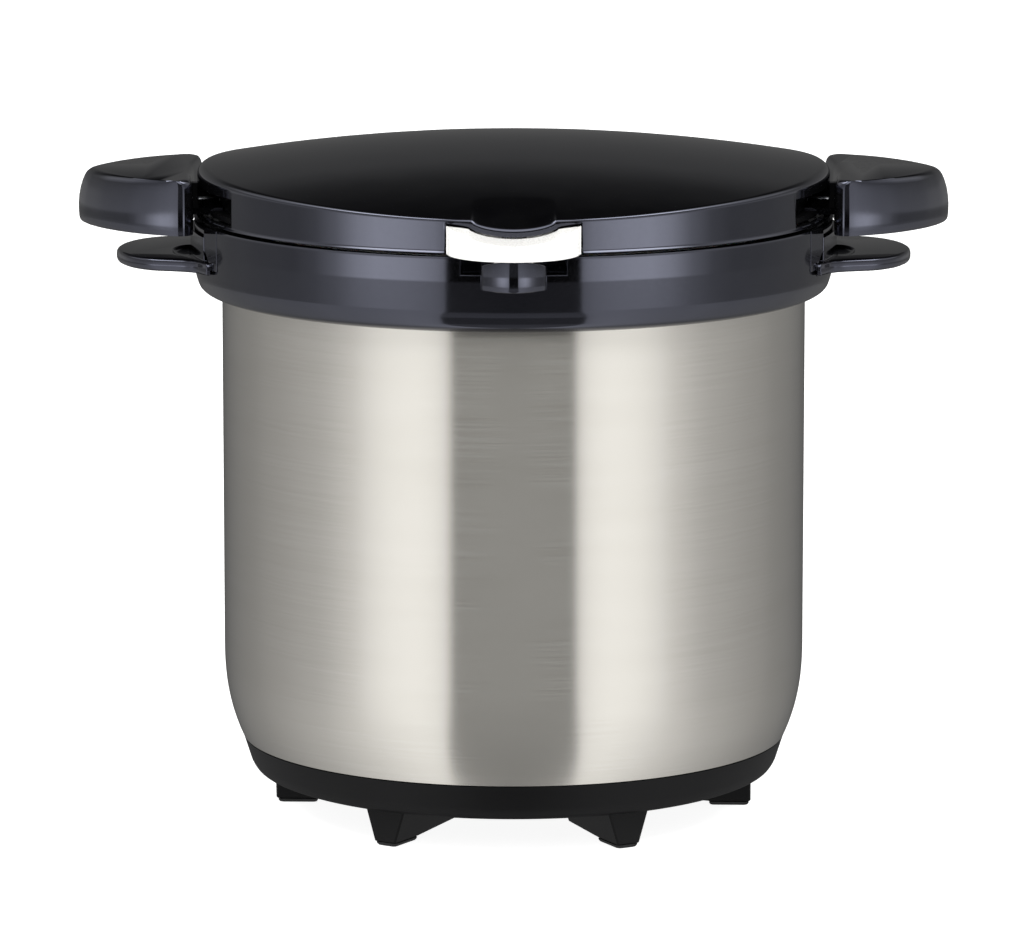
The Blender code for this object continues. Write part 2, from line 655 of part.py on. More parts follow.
def hinge_bracket(collar_piece):
    shelf = HINGE_Z - BRACKET_SHELF_DROP
    bottom = COLLAR_TOP - BRACKET_BOTTOM_DROP
    back_y = COLLAR_RADIUS + FRONT_REACH
    radius = back_y - HINGE_Y
    outline = [(HINGE_Y + radius * out, bottom + (shelf - bottom) * up)
               for out, up in BRACKET_SLOPE_SHARES]
    sweep = math.acos(-CHEEK_FRONT_IN / radius)
    for step in range(CHEEK_ARC_STEPS + 1):
        turn = sweep * step / CHEEK_ARC_STEPS
        outline.append((HINGE_Y + radius * math.cos(turn), shelf + radius * math.sin(turn)))
    front_y = COLLAR_RADIUS - 2 * ROOT_THICKNESS
    outline += [(HINGE_Y - CHEEK_FRONT_IN, shelf), (front_y, shelf)]
    outline[0] = (front_y, bottom)
    points = [(-HINGE_HALF_WIDTH, y, z) for y, z in outline]
    piece = solid("hinge_bracket", prism(points, (2 * HINGE_HALF_WIDTH, 0, 0)),
                  GLOSS_BLACK, container)
    half_gap = KNUCKLE_HALF_WIDTH + KNUCKLE_SIDE_GAP
    gap = block((-half_gap, front_y - OVERRUN, shelf),
                (half_gap, back_y + OVERRUN, HINGE_Z + radius + OVERRUN))
    combine(piece, tool("knuckle_gap", gap), "DIFFERENCE")
    slot_radius = HINGE_PIN_RADIUS + PIN_GAP
    out_x = HINGE_HALF_WIDTH + OVERRUN
    seat = rod(slot_radius, (-out_x, HINGE_Y, HINGE_Z), (out_x, HINGE_Y, HINGE_Z),
               2 * ROD_SEGMENTS)
    combine(piece, tool("pin_seat", seat), "DIFFERENCE")
    slot = block((-out_x, HINGE_Y - slot_radius, HINGE_Z),
                 (out_x, HINGE_Y + slot_radius, HINGE_Z + radius + OVERRUN))
    combine(piece, tool("pin_slot", slot), "DIFFERENCE")
    clear = collar_bore_tool("bracket_seat", COLLAR_BOTTOM, COLLAR_TOP + OVERRUN)
    combine(piece, clear, "DIFFERENCE")
    for number, turn in enumerate((-BRACKET_SCREW_TURN, BRACKET_SCREW_TURN), start=1):
        side_screw(f"bracket_screw_{number}", (collar_piece, piece), container,
                   turn - FRONT_ANGLE, COLLAR_TOP - BRACKET_SCREW_DROP, COLLAR_SEAT,
                   BRACKET_SCREW_LENGTH)


def hinge_pin():
    end = HINGE_HALF_WIDTH - HINGE_PIN_END
    shape = rod(HINGE_PIN_RADIUS, (-end, HINGE_Y, HINGE_Z), (end, HINGE_Y, HINGE_Z),
                2 * ROD_SEGMENTS)
    solid("hinge_pin", shape, POLISHED_STEEL, pin_carrier)


# Lid cover: a gloss dome that falls more to the front and back than to the
# sides, its rounded rim, and the skirt with windows for the two handles.
APEX_RISE = 0.0329
SIDE_FALL = 0.0117
FRONT_FALL = 0.0182
COVER_WALL = 0.0026
SKIRT_WALL = 0.0024
DOME_SHARES = (0.34, 0.66, 0.88, 0.968)
INNER_DOME_SHARES = (0.93, 0.80, 0.45)
RIM_ROUND = 0.0036
RIM_ROUND_SHARES = ((0.5, 0.1), (0.11, 0.44), (0.0, 1.0))
BEAD_OUT = 0.0004
BEAD_HEIGHT = 0.0011
COVER_EDGE_INNER_DROP = 0.0044
WINDOW_LIP = 0.0017
WINDOW_TOP_RISE = 0.014
WINDOW_HALF_WIDTH = 0.066
SCOOP_WIDTH = 0.035
SCOOP_DIP = 0.0037
SCOOP_LENGTH = 0.016
LEVER_SIDE_GAP = 0.0007
LEVER_HALF_WIDTH = 0.02735
LEVER_BOTTOM_RISE = 0.0008
LEVER_BOTTOM = COLLAR_TOP + LEVER_BOTTOM_RISE
LEVER_MIDDLE_HEIGHT = 0.0064
LEVER_END_HEIGHT = 0.0104
NOTCH_STEPS = 8
WINDOW_BOTTOM = COVER_BOTTOM + WINDOW_LIP
WINDOW_TOP = COLLAR_TOP + WINDOW_TOP_RISE


def dome_height(x, y):
    """Top surface of the lid."""
    side = SIDE_FALL * (x / LID_RADIUS) ** 2
    front = FRONT_FALL * (y / LID_RADIUS) ** 2
    return COLLAR_TOP + APEX_RISE - side - front


def dome_ring(radius, drop, rim_drop=None):
    """A ring on the dome, or at a drop below the dome's rim."""
    ring = []
    for index in range(RING_SEGMENTS):
        angle = 2 * math.pi * index / RING_SEGMENTS
        x, y, _ = polar(radius, angle, 0)
        if rim_drop is None:
            height = dome_height(x, y) - drop
        else:
            rim = polar(LID_RADIUS, angle, 0)
            height = dome_height(rim[0], rim[1]) - rim_drop
        ring.append((x, y, height))
    return ring


def flat_ring(radius, height):
    """A level ring."""
    return [polar(radius, 2 * math.pi * index / RING_SEGMENTS, height)
            for index in range(RING_SEGMENTS)]


def lever_top(x):
    """Height of the lever's dished top, lowest in the middle."""
    dish = (LEVER_END_HEIGHT - LEVER_MIDDLE_HEIGHT) * (x / LEVER_HALF_WIDTH) ** 2
    return LEVER_BOTTOM + LEVER_MIDDLE_HEIGHT + dish


def lever_notch():
    """The opening in the skirt that follows the lever's outline with a thin gap."""
    half = LEVER_HALF_WIDTH + LEVER_SIDE_GAP
    front_y = -LID_RADIUS - OVERRUN
    outline = [(-half, front_y, COVER_BOTTOM - OVERRUN)]
    for step in range(NOTCH_STEPS + 1):
        x = half * (2 * step / NOTCH_STEPS - 1)
        outline.append((x, front_y, lever_top(x) + LEVER_SIDE_GAP))
    outline.append((half, front_y, COVER_BOTTOM - OVERRUN))
    return prism(outline, (0, LEVER_HALF_WIDTH, 0))


def lid_cover():
    rings = [[(0, 0, dome_height(0, 0))]]
    rings += [dome_ring(LID_RADIUS * share, 0) for share in DOME_SHARES]
    rings += [dome_ring(LID_RADIUS - RIM_ROUND * inward, 0, RIM_ROUND * down)
              for inward, down in RIM_ROUND_SHARES]
    rings += [flat_ring(LID_RADIUS, COVER_BOTTOM + BEAD_HEIGHT),
              flat_ring(LID_RADIUS + BEAD_OUT, COVER_BOTTOM + BEAD_HEIGHT / 2),
              flat_ring(LID_RADIUS, COVER_BOTTOM),
              flat_ring(LID_RADIUS - SKIRT_WALL, COVER_BOTTOM),
              dome_ring(LID_RADIUS - SKIRT_WALL, 0, COVER_EDGE_INNER_DROP)]
    rings += [dome_ring(LID_RADIUS * share, COVER_WALL) for share in INNER_DOME_SHARES]
    rings.append([(0, 0, dome_height(0, 0) - COVER_WALL)])
    piece = solid("lid_cover", stack(rings), GLOSS_BLACK, lid)
    inner_x = math.sqrt(LID_RADIUS ** 2 - WINDOW_HALF_WIDTH ** 2) - 2 * OVERRUN
    for side in (-1, 1):
        window = block((inner_x, -WINDOW_HALF_WIDTH, WINDOW_BOTTOM),
                       (LID_RADIUS + OVERRUN, WINDOW_HALF_WIDTH, WINDOW_TOP))
        combine(piece, tool("handle_window", face_side(window, side)), "DIFFERENCE")
    combine(piece, tool("lever_notch", lever_notch()), "DIFFERENCE")
    half_gap = KNUCKLE_HALF_WIDTH + KNUCKLE_SIDE_GAP
    knuckle = block((-half_gap, LID_RADIUS - 2 * OVERRUN, COVER_BOTTOM - OVERRUN),
                    (half_gap, LID_RADIUS + OVERRUN, HINGE_Z + KNUCKLE_RADIUS + PIN_GAP))
    combine(piece, tool("knuckle_notch", knuckle), "DIFFERENCE")
    rim = dome_height(0, -LID_RADIUS)
    scoop_rise = SCOOP_DIP + 2 * FRONT_FALL / LID_RADIUS * SCOOP_LENGTH
    tilt = math.atan2(scoop_rise, SCOOP_LENGTH)
    half = SCOOP_WIDTH / 2
    scoop_radius = (half ** 2 + SCOOP_DIP ** 2) / (2 * SCOOP_DIP * math.cos(tilt))
    floor_start = Vector((0, -LID_RADIUS - OVERRUN, rim - SCOOP_DIP - OVERRUN * math.tan(tilt)))
    floor_end = Vector((0, SCOOP_LENGTH - LID_RADIUS, rim - SCOOP_DIP + scoop_rise))
    axis_offset = Vector((0, -math.sin(tilt), math.cos(tilt))) * scoop_radius
    scoop = rod(scoop_radius, floor_start + axis_offset, floor_end + axis_offset,
                2 * RING_SEGMENTS)
    combine(piece, tool("thumb_scoop", scoop), "DIFFERENCE")


# Lid frame: the hidden ring that carries the liner, the handles, the lever's
# pin and the hinge knuckle.
FRAME_MOUTH_IN = 0.0064
FRAME_INNER_RADIUS = VESSEL_RADIUS - FRAME_MOUTH_IN
FRAME_SKIRT_GAP = 0.0006
FRAME_OUTER_RADIUS = LID_RADIUS - SKIRT_WALL - FRAME_SKIRT_GAP
FRAME_WALL_IN = 0.0088
FRAME_WALL_THICKNESS = 0.0024
FRAME_WALL_RADIUS = LID_RADIUS - FRAME_WALL_IN
FRAME_WALL_TOP_RISE = 0.0129
NECK_HALF_WIDTH = 0.030
NECK_RISE = 0.0031
NECK_TOP_RISE = 0.0135
KNUCKLE_UNDER_RISE = 0.0011
KNUCKLE_TOP_RISE = 0.005
LUG_INNER_X = 0.0215
LUG_THICKNESS = 0.0035
LUG_RADIUS = 0.0029
LEVER_TONGUE_HALF_WIDTH = 0.0206
LEVER_RUN_GAP = 0.0006
LEVER_BARREL_RADIUS = 0.003


def lid_frame():
    wall_inner = FRAME_WALL_RADIUS - FRAME_WALL_THICKNESS
    web_top = FRAME_BOTTOM + FRAME_WEB
    wall_top = COLLAR_TOP + FRAME_WALL_TOP_RISE
    profile = [(FRAME_INNER_RADIUS, FRAME_BOTTOM), (FRAME_OUTER_RADIUS, FRAME_BOTTOM),
               (FRAME_OUTER_RADIUS, web_top), (FRAME_WALL_RADIUS, web_top),
               (FRAME_WALL_RADIUS, wall_top), (wall_inner, wall_top),
               (wall_inner, web_top), (FRAME_INNER_RADIUS, web_top)]
    piece = solid("lid_frame", turned(profile), SATIN_BLACK, lid)
    clear_bottom = FRAME_BOTTOM - OVERRUN
    for side in (-1, 1):
        pocket = sector(FRAME_WALL_RADIUS - SEAT_GAP, LID_RADIUS + OVERRUN,
                        NECK_HALF_WIDTH + SEAT_GAP, clear_bottom, web_top + OVERRUN)
        combine(piece, tool("neck_pocket", face_side(pocket, side)), "DIFFERENCE")
    tongue = block((-KNUCKLE_HALF_WIDTH, FRAME_WALL_RADIUS - FRAME_WALL_THICKNESS / 2,
                    COLLAR_TOP + KNUCKLE_UNDER_RISE),
                   (KNUCKLE_HALF_WIDTH, HINGE_Y, HINGE_Z + KNUCKLE_TOP_RISE))
    combine(piece, tool("knuckle_tongue", tongue), "UNION")
    barrel = rod(KNUCKLE_RADIUS, (-KNUCKLE_HALF_WIDTH, HINGE_Y, HINGE_Z),
                 (KNUCKLE_HALF_WIDTH, HINGE_Y, HINGE_Z), 2 * ROD_SEGMENTS)
    combine(piece, tool("knuckle_barrel", barrel), "UNION")
    out_x = HINGE_HALF_WIDTH
    bore = rod(HINGE_PIN_RADIUS + PIN_GAP, (-out_x, HINGE_Y, HINGE_Z),
               (out_x, HINGE_Y, HINGE_Z), 2 * ROD_SEGMENTS)
    combine(piece, tool("knuckle_bore", bore), "DIFFERENCE")
    half_bay = LEVER_TONGUE_HALF_WIDTH + LEVER_RUN_GAP / 2
    bay_back = LEVER_PIN_Y + LEVER_BARREL_RADIUS + LEVER_RUN_GAP / 2
    bay = block((-half_bay, -LID_RADIUS - OVERRUN, clear_bottom),
                (half_bay, bay_back, wall_top + OVERRUN))
    combine(piece, tool("lever_bay", bay), "DIFFERENCE")
    lug_back = -wall_inner * math.cos(math.asin(LUG_INNER_X / wall_inner))
    for side in (-1, 1):
        near = side * LUG_INNER_X
        far = side * (LUG_INNER_X + LUG_THICKNESS)
        lug = block((min(near, far), LEVER_PIN_Y, FRAME_BOTTOM + FRAME_WEB / 2),
                    (max(near, far), lug_back, LEVER_PIN_Z + LUG_RADIUS))
        combine(piece, tool("lug", lug), "UNION")
        eye = rod(LUG_RADIUS, (near, LEVER_PIN_Y, LEVER_PIN_Z), (far, LEVER_PIN_Y, LEVER_PIN_Z))
        combine(piece, tool("lug_eye", eye), "UNION")
    pin_bore = rod(LEVER_PIN_RADIUS + PIN_GAP, (-HINGE_HALF_WIDTH, LEVER_PIN_Y, LEVER_PIN_Z),
                   (HINGE_HALF_WIDTH, LEVER_PIN_Y, LEVER_PIN_Z))
    combine(piece, tool("lug_bore", pin_bore), "DIFFERENCE")
    return piece


# Liner, insulation and seal: the plug that closes the container's mouth.
PLUG_SIDE_GAP = 0.0052
PLUG_RADIUS = VESSEL_RADIUS - SHEET - PLUG_SIDE_GAP
PLUG_DEPTH = 0.0183
PLUG_CHAMFER_IN = 0.007
PLUG_CHAMFER_RISE = 0.006
LINER_FLANGE_OUT = 0.008
FOAM_GAP = 0.0005
FOAM_EDGE_TOP_RISE = 0.0134
FOAM_SHOULDER_IN = 0.0214
FOAM_SHOULDER_RISE = 0.0184
FOAM_MIDDLE_RISE = 0.0254
SEAL_LIP = 0.002
SEAL_LIP_DEPTH = 0.0044
SEAL_OUT = 0.0045


def lid_plug():
    bottom = LINER_FLANGE_BOTTOM - PLUG_DEPTH
    inner = PLUG_RADIUS - SHEET
    profile = [(0, bottom), (PLUG_RADIUS - PLUG_CHAMFER_IN, bottom),
               (PLUG_RADIUS, bottom + PLUG_CHAMFER_RISE), (PLUG_RADIUS, LINER_FLANGE_BOTTOM),
               (PLUG_RADIUS + LINER_FLANGE_OUT, LINER_FLANGE_BOTTOM),
               (PLUG_RADIUS + LINER_FLANGE_OUT, LINER_FLANGE_TOP),
               (inner, LINER_FLANGE_TOP), (inner, bottom + PLUG_CHAMFER_RISE + SHEET / 2),
               (inner - PLUG_CHAMFER_IN + SHEET / 2, bottom + SHEET), (0, bottom + SHEET)]
    solid("lid_liner", turned(profile, INNER_SEGMENTS), POLISHED_STEEL, lid)
    foam_radius = inner - FOAM_GAP
    foam_bottom = bottom + SHEET + FOAM_GAP
    foam = [(0, foam_bottom), (foam_radius - PLUG_CHAMFER_IN, foam_bottom),
            (foam_radius, foam_bottom + PLUG_CHAMFER_RISE),
            (foam_radius, COLLAR_TOP + FOAM_EDGE_TOP_RISE),
            (foam_radius - FOAM_SHOULDER_IN, COLLAR_TOP + FOAM_SHOULDER_RISE),
            (0, COLLAR_TOP + FOAM_MIDDLE_RISE)]
    solid("lid_insulation", turned(foam, INNER_SEGMENTS), FOAM, lid)
    seal_inner = PLUG_RADIUS + FOAM_GAP
    seal_outer = VESSEL_RADIUS + SEAL_OUT
    seal = [(seal_inner, SEAL_BOTTOM - SEAL_LIP_DEPTH),
            (seal_inner + SEAL_LIP, SEAL_BOTTOM - SEAL_LIP_DEPTH),
            (seal_inner + SEAL_LIP, SEAL_BOTTOM), (seal_outer, SEAL_BOTTOM),
            (seal_outer, SEAL_TOP), (seal_inner, SEAL_TOP)]
    solid("lid_seal", turned(seal, INNER_SEGMENTS), SILICONE, lid)


# Lid handles: the two thick upper ears, each with a neck that passes through
# the skirt's window to the frame.
EAR_GAP = 0.0028
EAR_START = LID_RADIUS + EAR_GAP
EAR_REACH = 0.0481
EAR_HALF_WIDTH = 0.043
EAR_BOTTOM_DROP = 0.0038
EAR_TOP_RISE = 0.0184
EAR_OUTLINE_SHARES = ((-0.02, 0.5), (-0.068, 0.7), (-0.03, 0.87), (0.05, 0.965), (0.16, 1.0),
                      (0.34, 0.93), (0.60, 0.765), (0.75, 0.60), (0.88, 0.40), (0.965, 0.20),
                      (1.0, 0.0))
EAR_LEVELS = ((0.0, 0.0030), (0.09, 0.0009), (0.3, 0.0), (0.7, 0.0013), (0.88, 0.0030),
              (1.0, 0.0054))
EAR_SCREW_TURN = math.radians(8)
EAR_SCREW_RISE = 0.0079
EAR_SCREW_LENGTH = 0.0125
FRAME_SEAT = FRAME_WALL_RADIUS - FRAME_WALL_THICKNESS - HEAD_SEAT


def lid_handle(name, side, frame_piece):
    bottom = COLLAR_TOP - EAR_BOTTOM_DROP
    height = EAR_BOTTOM_DROP + EAR_TOP_RISE
    rings = []
    for up, inset in EAR_LEVELS:
        half = [(EAR_START + (EAR_REACH - inset) * out, (EAR_HALF_WIDTH - inset / 2) * across)
                for out, across in EAR_OUTLINE_SHARES]
        outline = [(EAR_START, 0)] + half + [(x, -y) for x, y in reversed(half) if y > 0]
        rings.append([(x, y, bottom + height * up) for x, y in outline])
    piece = solid(name, face_side(stack(rings), side), GLOSS_BLACK, lid)
    neck = sector(FRAME_WALL_RADIUS + SEAT_GAP, EAR_START + OVERRUN, NECK_HALF_WIDTH,
                  COLLAR_TOP + NECK_RISE, COLLAR_TOP + NECK_TOP_RISE)
    combine(piece, tool(name + "_neck", face_side(neck, side)), "UNION")
    middle = 0 if side > 0 else math.pi
    for number, turn in enumerate((-EAR_SCREW_TURN, EAR_SCREW_TURN), start=1):
        side_screw(f"{name}_screw_{number}", (frame_piece, piece), lid, middle + turn,
                   COLLAR_TOP + EAR_SCREW_RISE, FRAME_SEAT, EAR_SCREW_LENGTH)


# Latch lever: the white thumb piece, its pin and the spring round the pin.
LEVER_BACK_IN = 0.00235
LEVER_BACK_Y = -COLLAR_RADIUS + LEVER_BACK_IN
LEVER_STATIONS = 12
LEVER_EDGE = 0.0009
TONGUE_BOTTOM_RISE = 0.0034
TONGUE_TOP_RISE = 0.0064
HOOK_HALF_WIDTH = 0.008
HOOK_THICKNESS = 0.0028
HOOK_IN = 0.0006
HOOK_BOTTOM_DROP = 0.0056
SPRING_BAY_HALF_WIDTH = 0.0052
SPRING_HALF_LENGTH = 0.0042
SPRING_COIL_RADIUS = 0.0023
SPRING_WIRE_RADIUS = 0.0004
SPRING_TURNS = 4
SPRING_STEPS = 8
LEVER_PIN_END = 0.0005


def lever_section(x):
    """The lever's section across Y at one place along its width."""
    reach = COLLAR_RADIUS + FRONT_REACH + LEVER_BACK_Y
    share = math.sqrt(max(1 - (x / LEVER_HALF_WIDTH) ** 2, 0))
    front_y = LEVER_BACK_Y - max(reach * share, 3 * LEVER_EDGE)
    top = lever_top(x)
    return [(x, LEVER_BACK_Y, LEVER_BOTTOM), (x, front_y + LEVER_EDGE, LEVER_BOTTOM),
            (x, front_y, LEVER_BOTTOM + LEVER_EDGE), (x, front_y, top - LEVER_EDGE),
            (x, front_y + LEVER_EDGE, top), (x, LEVER_BACK_Y, top)]


def latch_lever():
    turns = [math.pi * step / LEVER_STATIONS for step in range(LEVER_STATIONS + 1)]
    rings = [lever_section(-LEVER_HALF_WIDTH * math.cos(turn)) for turn in turns]
    piece = solid("latch_lever", stack(rings), WHITE_PLASTIC, lever_axis)
    tongue = block((-LEVER_TONGUE_HALF_WIDTH, LEVER_BACK_Y - LEVER_EDGE,
                    COLLAR_TOP + TONGUE_BOTTOM_RISE),
                   (LEVER_TONGUE_HALF_WIDTH, LEVER_PIN_Y, COLLAR_TOP + TONGUE_TOP_RISE))
    combine(piece, tool("lever_tongue", tongue), "UNION")
    barrel = rod(LEVER_BARREL_RADIUS, (-LEVER_TONGUE_HALF_WIDTH, LEVER_PIN_Y, LEVER_PIN_Z),
                 (LEVER_TONGUE_HALF_WIDTH, LEVER_PIN_Y, LEVER_PIN_Z), 2 * ROD_SEGMENTS)
    combine(piece, tool("lever_barrel", barrel), "UNION")
    hook_front = -COLLAR_RADIUS + HOOK_IN
    hook = block((-HOOK_HALF_WIDTH, hook_front, COLLAR_TOP - HOOK_BOTTOM_DROP),
                 (HOOK_HALF_WIDTH, hook_front + HOOK_THICKNESS,
                  COLLAR_TOP + TONGUE_BOTTOM_RISE + SHEET))
    combine(piece, tool("lever_hook", hook), "UNION")
    bore = rod(LEVER_PIN_RADIUS + PIN_GAP, (-HINGE_HALF_WIDTH, LEVER_PIN_Y, LEVER_PIN_Z),
               (HINGE_HALF_WIDTH, LEVER_PIN_Y, LEVER_PIN_Z))
    combine(piece, tool("lever_bore", bore), "DIFFERENCE")
    bay = block((-SPRING_BAY_HALF_WIDTH, LEVER_PIN_Y - LEVER_BARREL_RADIUS,
                 LEVER_BOTTOM + LEVER_EDGE),
                (SPRING_BAY_HALF_WIDTH, LEVER_PIN_Y + OVERRUN, LEVER_PIN_Z + OVERRUN))
    combine(piece, tool("spring_bay", bay), "DIFFERENCE")


def lever_pin_and_spring():
    end = LUG_INNER_X + LUG_THICKNESS - LEVER_PIN_END
    pin = rod(LEVER_PIN_RADIUS, (-end, LEVER_PIN_Y, LEVER_PIN_Z),
              (end, LEVER_PIN_Y, LEVER_PIN_Z))
    solid("latch_pin", pin, POLISHED_STEEL, lid)
    curve = bpy.data.curves.new("latch_spring", "CURVE")
    curve.dimensions = "3D"
    curve.bevel_depth = SPRING_WIRE_RADIUS
    curve.bevel_resolution = 1
    curve.use_fill_caps = True
    path = curve.splines.new("POLY")
    count = SPRING_TURNS * SPRING_STEPS
    path.points.add(count)
    start = Vector((0, LEVER_PIN_Y, LEVER_PIN_Z)) - world_place[lid.name]
    for index, point in enumerate(path.points):
        turn = 2 * math.pi * index / SPRING_STEPS
        x = SPRING_HALF_LENGTH * (2 * index / count - 1)
        place = start + Vector((x, SPRING_COIL_RADIUS * math.cos(turn),
                                SPRING_COIL_RADIUS * math.sin(turn)))
        point.co = (*place, 1)
    spring = bpy.data.objects.new("latch_spring", curve)
    bpy.context.scene.collection.objects.link(spring)
    spring.parent = lid
    curve.materials.append(ZINC_STEEL)


# Inner pot: a straight steel pot with a clad base, a swing bail and its lid.
POT_CORNER_WIDTH = 0.0105
POT_CORNER_RISE = 0.0096
POT_FLANGE_OUT = 0.003
POT_BASE_IN = 0.0165
BAIL_OUT = 0.0057
BAIL_RADIUS = POT_RADIUS + BAIL_OUT
BAIL_WIRE_RADIUS = 0.002
BAIL_Z = POT_TOP - BAIL_DROP
BAIL_STEPS = 20
BAIL_SIDES = 6
BAIL_PIN_REACH = 0.0043
BAIL_GRIP_HALF_STEPS = 2
BAIL_GRIP_WALL = 0.0008
BAIL_EAR_PLATE = 0.0019
BAIL_EAR_HALF_WIDTH = 0.011
BAIL_EAR_DEPTH = 0.008
BAIL_EAR_HEAD = 0.0055
BAIL_EYE_RADIUS = 0.0042

pot_carrier = axis_frame("pot_place", (0, 0, 0), container)
pot_lid_carrier = axis_frame("pot_lid_place", (0, 0, POT_TOP), pot_carrier)
bail_axis = axis_frame("bail_axis", (0, 0, BAIL_Z), pot_carrier)


def pot():
    outside = corner_points(POT_RADIUS, POT_FLOOR, POT_CORNER_WIDTH, POT_CORNER_RISE)
    inside = corner_points(POT_RADIUS - POT_SHEET, POT_FLOOR + POT_SHEET, POT_CORNER_WIDTH,
                           POT_CORNER_RISE)
    flange = POT_RADIUS + POT_FLANGE_OUT
    profile = [(0, POT_FLOOR)] + outside
    profile += [(POT_RADIUS, POT_TOP - POT_SHEET), (flange, POT_TOP - POT_SHEET),
                (flange, POT_TOP), (POT_RADIUS - POT_SHEET, POT_TOP)]
    profile += inside[::-1] + [(0, POT_FLOOR + POT_SHEET)]
    solid("pot", turned(profile, INNER_SEGMENTS), POLISHED_STEEL, pot_carrier)
    base_top = POT_FLOOR - SEAT_GAP
    base = rod(POT_RADIUS - POT_BASE_IN, (0, 0, base_top - POT_BASE_THICKNESS),
               (0, 0, base_top), INNER_SEGMENTS)
    solid("pot_base_disc", base, ZINC_STEEL, pot_carrier)


def bail_ear(name, side):
    """A riveted plate with a boss whose eye takes the bail's end."""
    plate_out = POT_RADIUS + BAIL_EAR_PLATE
    plate = block((POT_RADIUS - BAIL_EAR_PLATE, -BAIL_EAR_HALF_WIDTH, BAIL_Z - BAIL_EAR_DEPTH),
                  (plate_out, BAIL_EAR_HALF_WIDTH, BAIL_Z + BAIL_EAR_HEAD))
    piece = solid(name, face_side(plate, side), POLISHED_STEEL, pot_carrier)
    boss_out = BAIL_RADIUS - BAIL_WIRE_RADIUS - PIN_GAP
    boss = rod(BAIL_EYE_RADIUS, (plate_out - SHEET, 0, BAIL_Z), (boss_out, 0, BAIL_Z),
               2 * ROD_SEGMENTS)
    combine(piece, tool(name + "_boss", face_side(boss, side)), "UNION")
    eye_bottom = BAIL_RADIUS - BAIL_PIN_REACH - PIN_GAP
    eye = rod(BAIL_WIRE_RADIUS + PIN_GAP, (eye_bottom, 0, BAIL_Z),
              (BAIL_RADIUS, 0, BAIL_Z), ROD_SEGMENTS)
    combine(piece, tool(name + "_eye", face_side(eye, side)), "DIFFERENCE")
    wall = POT_RADIUS + SEAT_GAP
    clear = turned([(0, POT_FLOOR), (wall, POT_FLOOR), (wall, POT_TOP), (0, POT_TOP)],
                   INNER_SEGMENTS)
    combine(piece, tool(name + "_seat", clear), "DIFFERENCE")


def arc_tube(radius, centre_radius, start, end, steps):
    """A round bar that follows an arc at the bail's height."""
    rings = []
    for step in range(steps + 1):
        angle = start + (end - start) * step / steps
        ring = []
        for side in range(BAIL_SIDES):
            turn = 2 * math.pi * side / BAIL_SIDES
            place = polar(centre_radius + radius * math.cos(turn), angle,
                          BAIL_Z + radius * math.sin(turn))
            ring.append(place)
        rings.append(ring)
    return stack(rings)


def bail():
    spread = math.asin(BAIL_WIRE_RADIUS / 2 / BAIL_RADIUS)
    shape = arc_tube(BAIL_WIRE_RADIUS, BAIL_RADIUS, spread, -math.pi - spread, BAIL_STEPS)
    piece = solid("bail", shape, POLISHED_STEEL, bail_axis)
    for side in (-1, 1):
        pin = rod(BAIL_WIRE_RADIUS, (BAIL_RADIUS - BAIL_PIN_REACH, 0, BAIL_Z),
                  (BAIL_RADIUS + BAIL_WIRE_RADIUS / 2, 0, BAIL_Z), ROD_SEGMENTS)
        combine(piece, tool("bail_pin", face_side(pin, side)), "UNION")
    outer = BAIL_WIRE_RADIUS + PIN_GAP + BAIL_GRIP_WALL
    step = (math.pi + 2 * spread) / BAIL_STEPS
    half = BAIL_GRIP_HALF_STEPS
    tube = arc_tube(outer, BAIL_RADIUS, FRONT_ANGLE - step * half, FRONT_ANGLE + step * half,
                    2 * half)
    sleeve = solid("bail_grip", tube, SATIN_BLACK, bail_axis)
    past = half + 1
    hollow = arc_tube(BAIL_WIRE_RADIUS + PIN_GAP, BAIL_RADIUS, FRONT_ANGLE - step * past,
                      FRONT_ANGLE + step * past, 2 * past)
    combine(sleeve, tool("bail_grip_bore", hollow), "DIFFERENCE")


# Pot lid: a domed glass in a steel band, with a knob held by a screw.
BAND_OUT = 0.0019
BAND_IN = 0.0016
BAND_OUTER_RADIUS = POT_RADIUS + BAND_OUT
BAND_INNER_RADIUS = POT_RADIUS - BAND_IN
BAND_BOTTOM = POT_TOP + SEAT_GAP
BAND_HEIGHT = 0.0057
BAND_LIP = 0.0021
GLASS_EDGE_RADIUS = BAND_OUTER_RADIUS - SHEET - SEAT_GAP
GLASS_THICKNESS = 0.0034
GLASS_EDGE_THICKNESS = 0.0028
GLASS_RISE = 0.0126
GLASS_SHARES = (0.55, 0.87)
GLASS_HOLE_RADIUS = 0.0035
KNOB_HEIGHT = 0.0279
KNOB_SHARES = ((0.82, 0.0), (0.62, 0.18), (0.56, 0.46), (0.95, 0.68), (1.0, 0.86), (0.82, 1.0))
KNOB_RADIUS = 0.0195
KNOB_HOLE_DEPTH = 0.0149
KNOB_SCREW_HEAD_RADIUS = 0.006
KNOB_SEGMENTS = 16


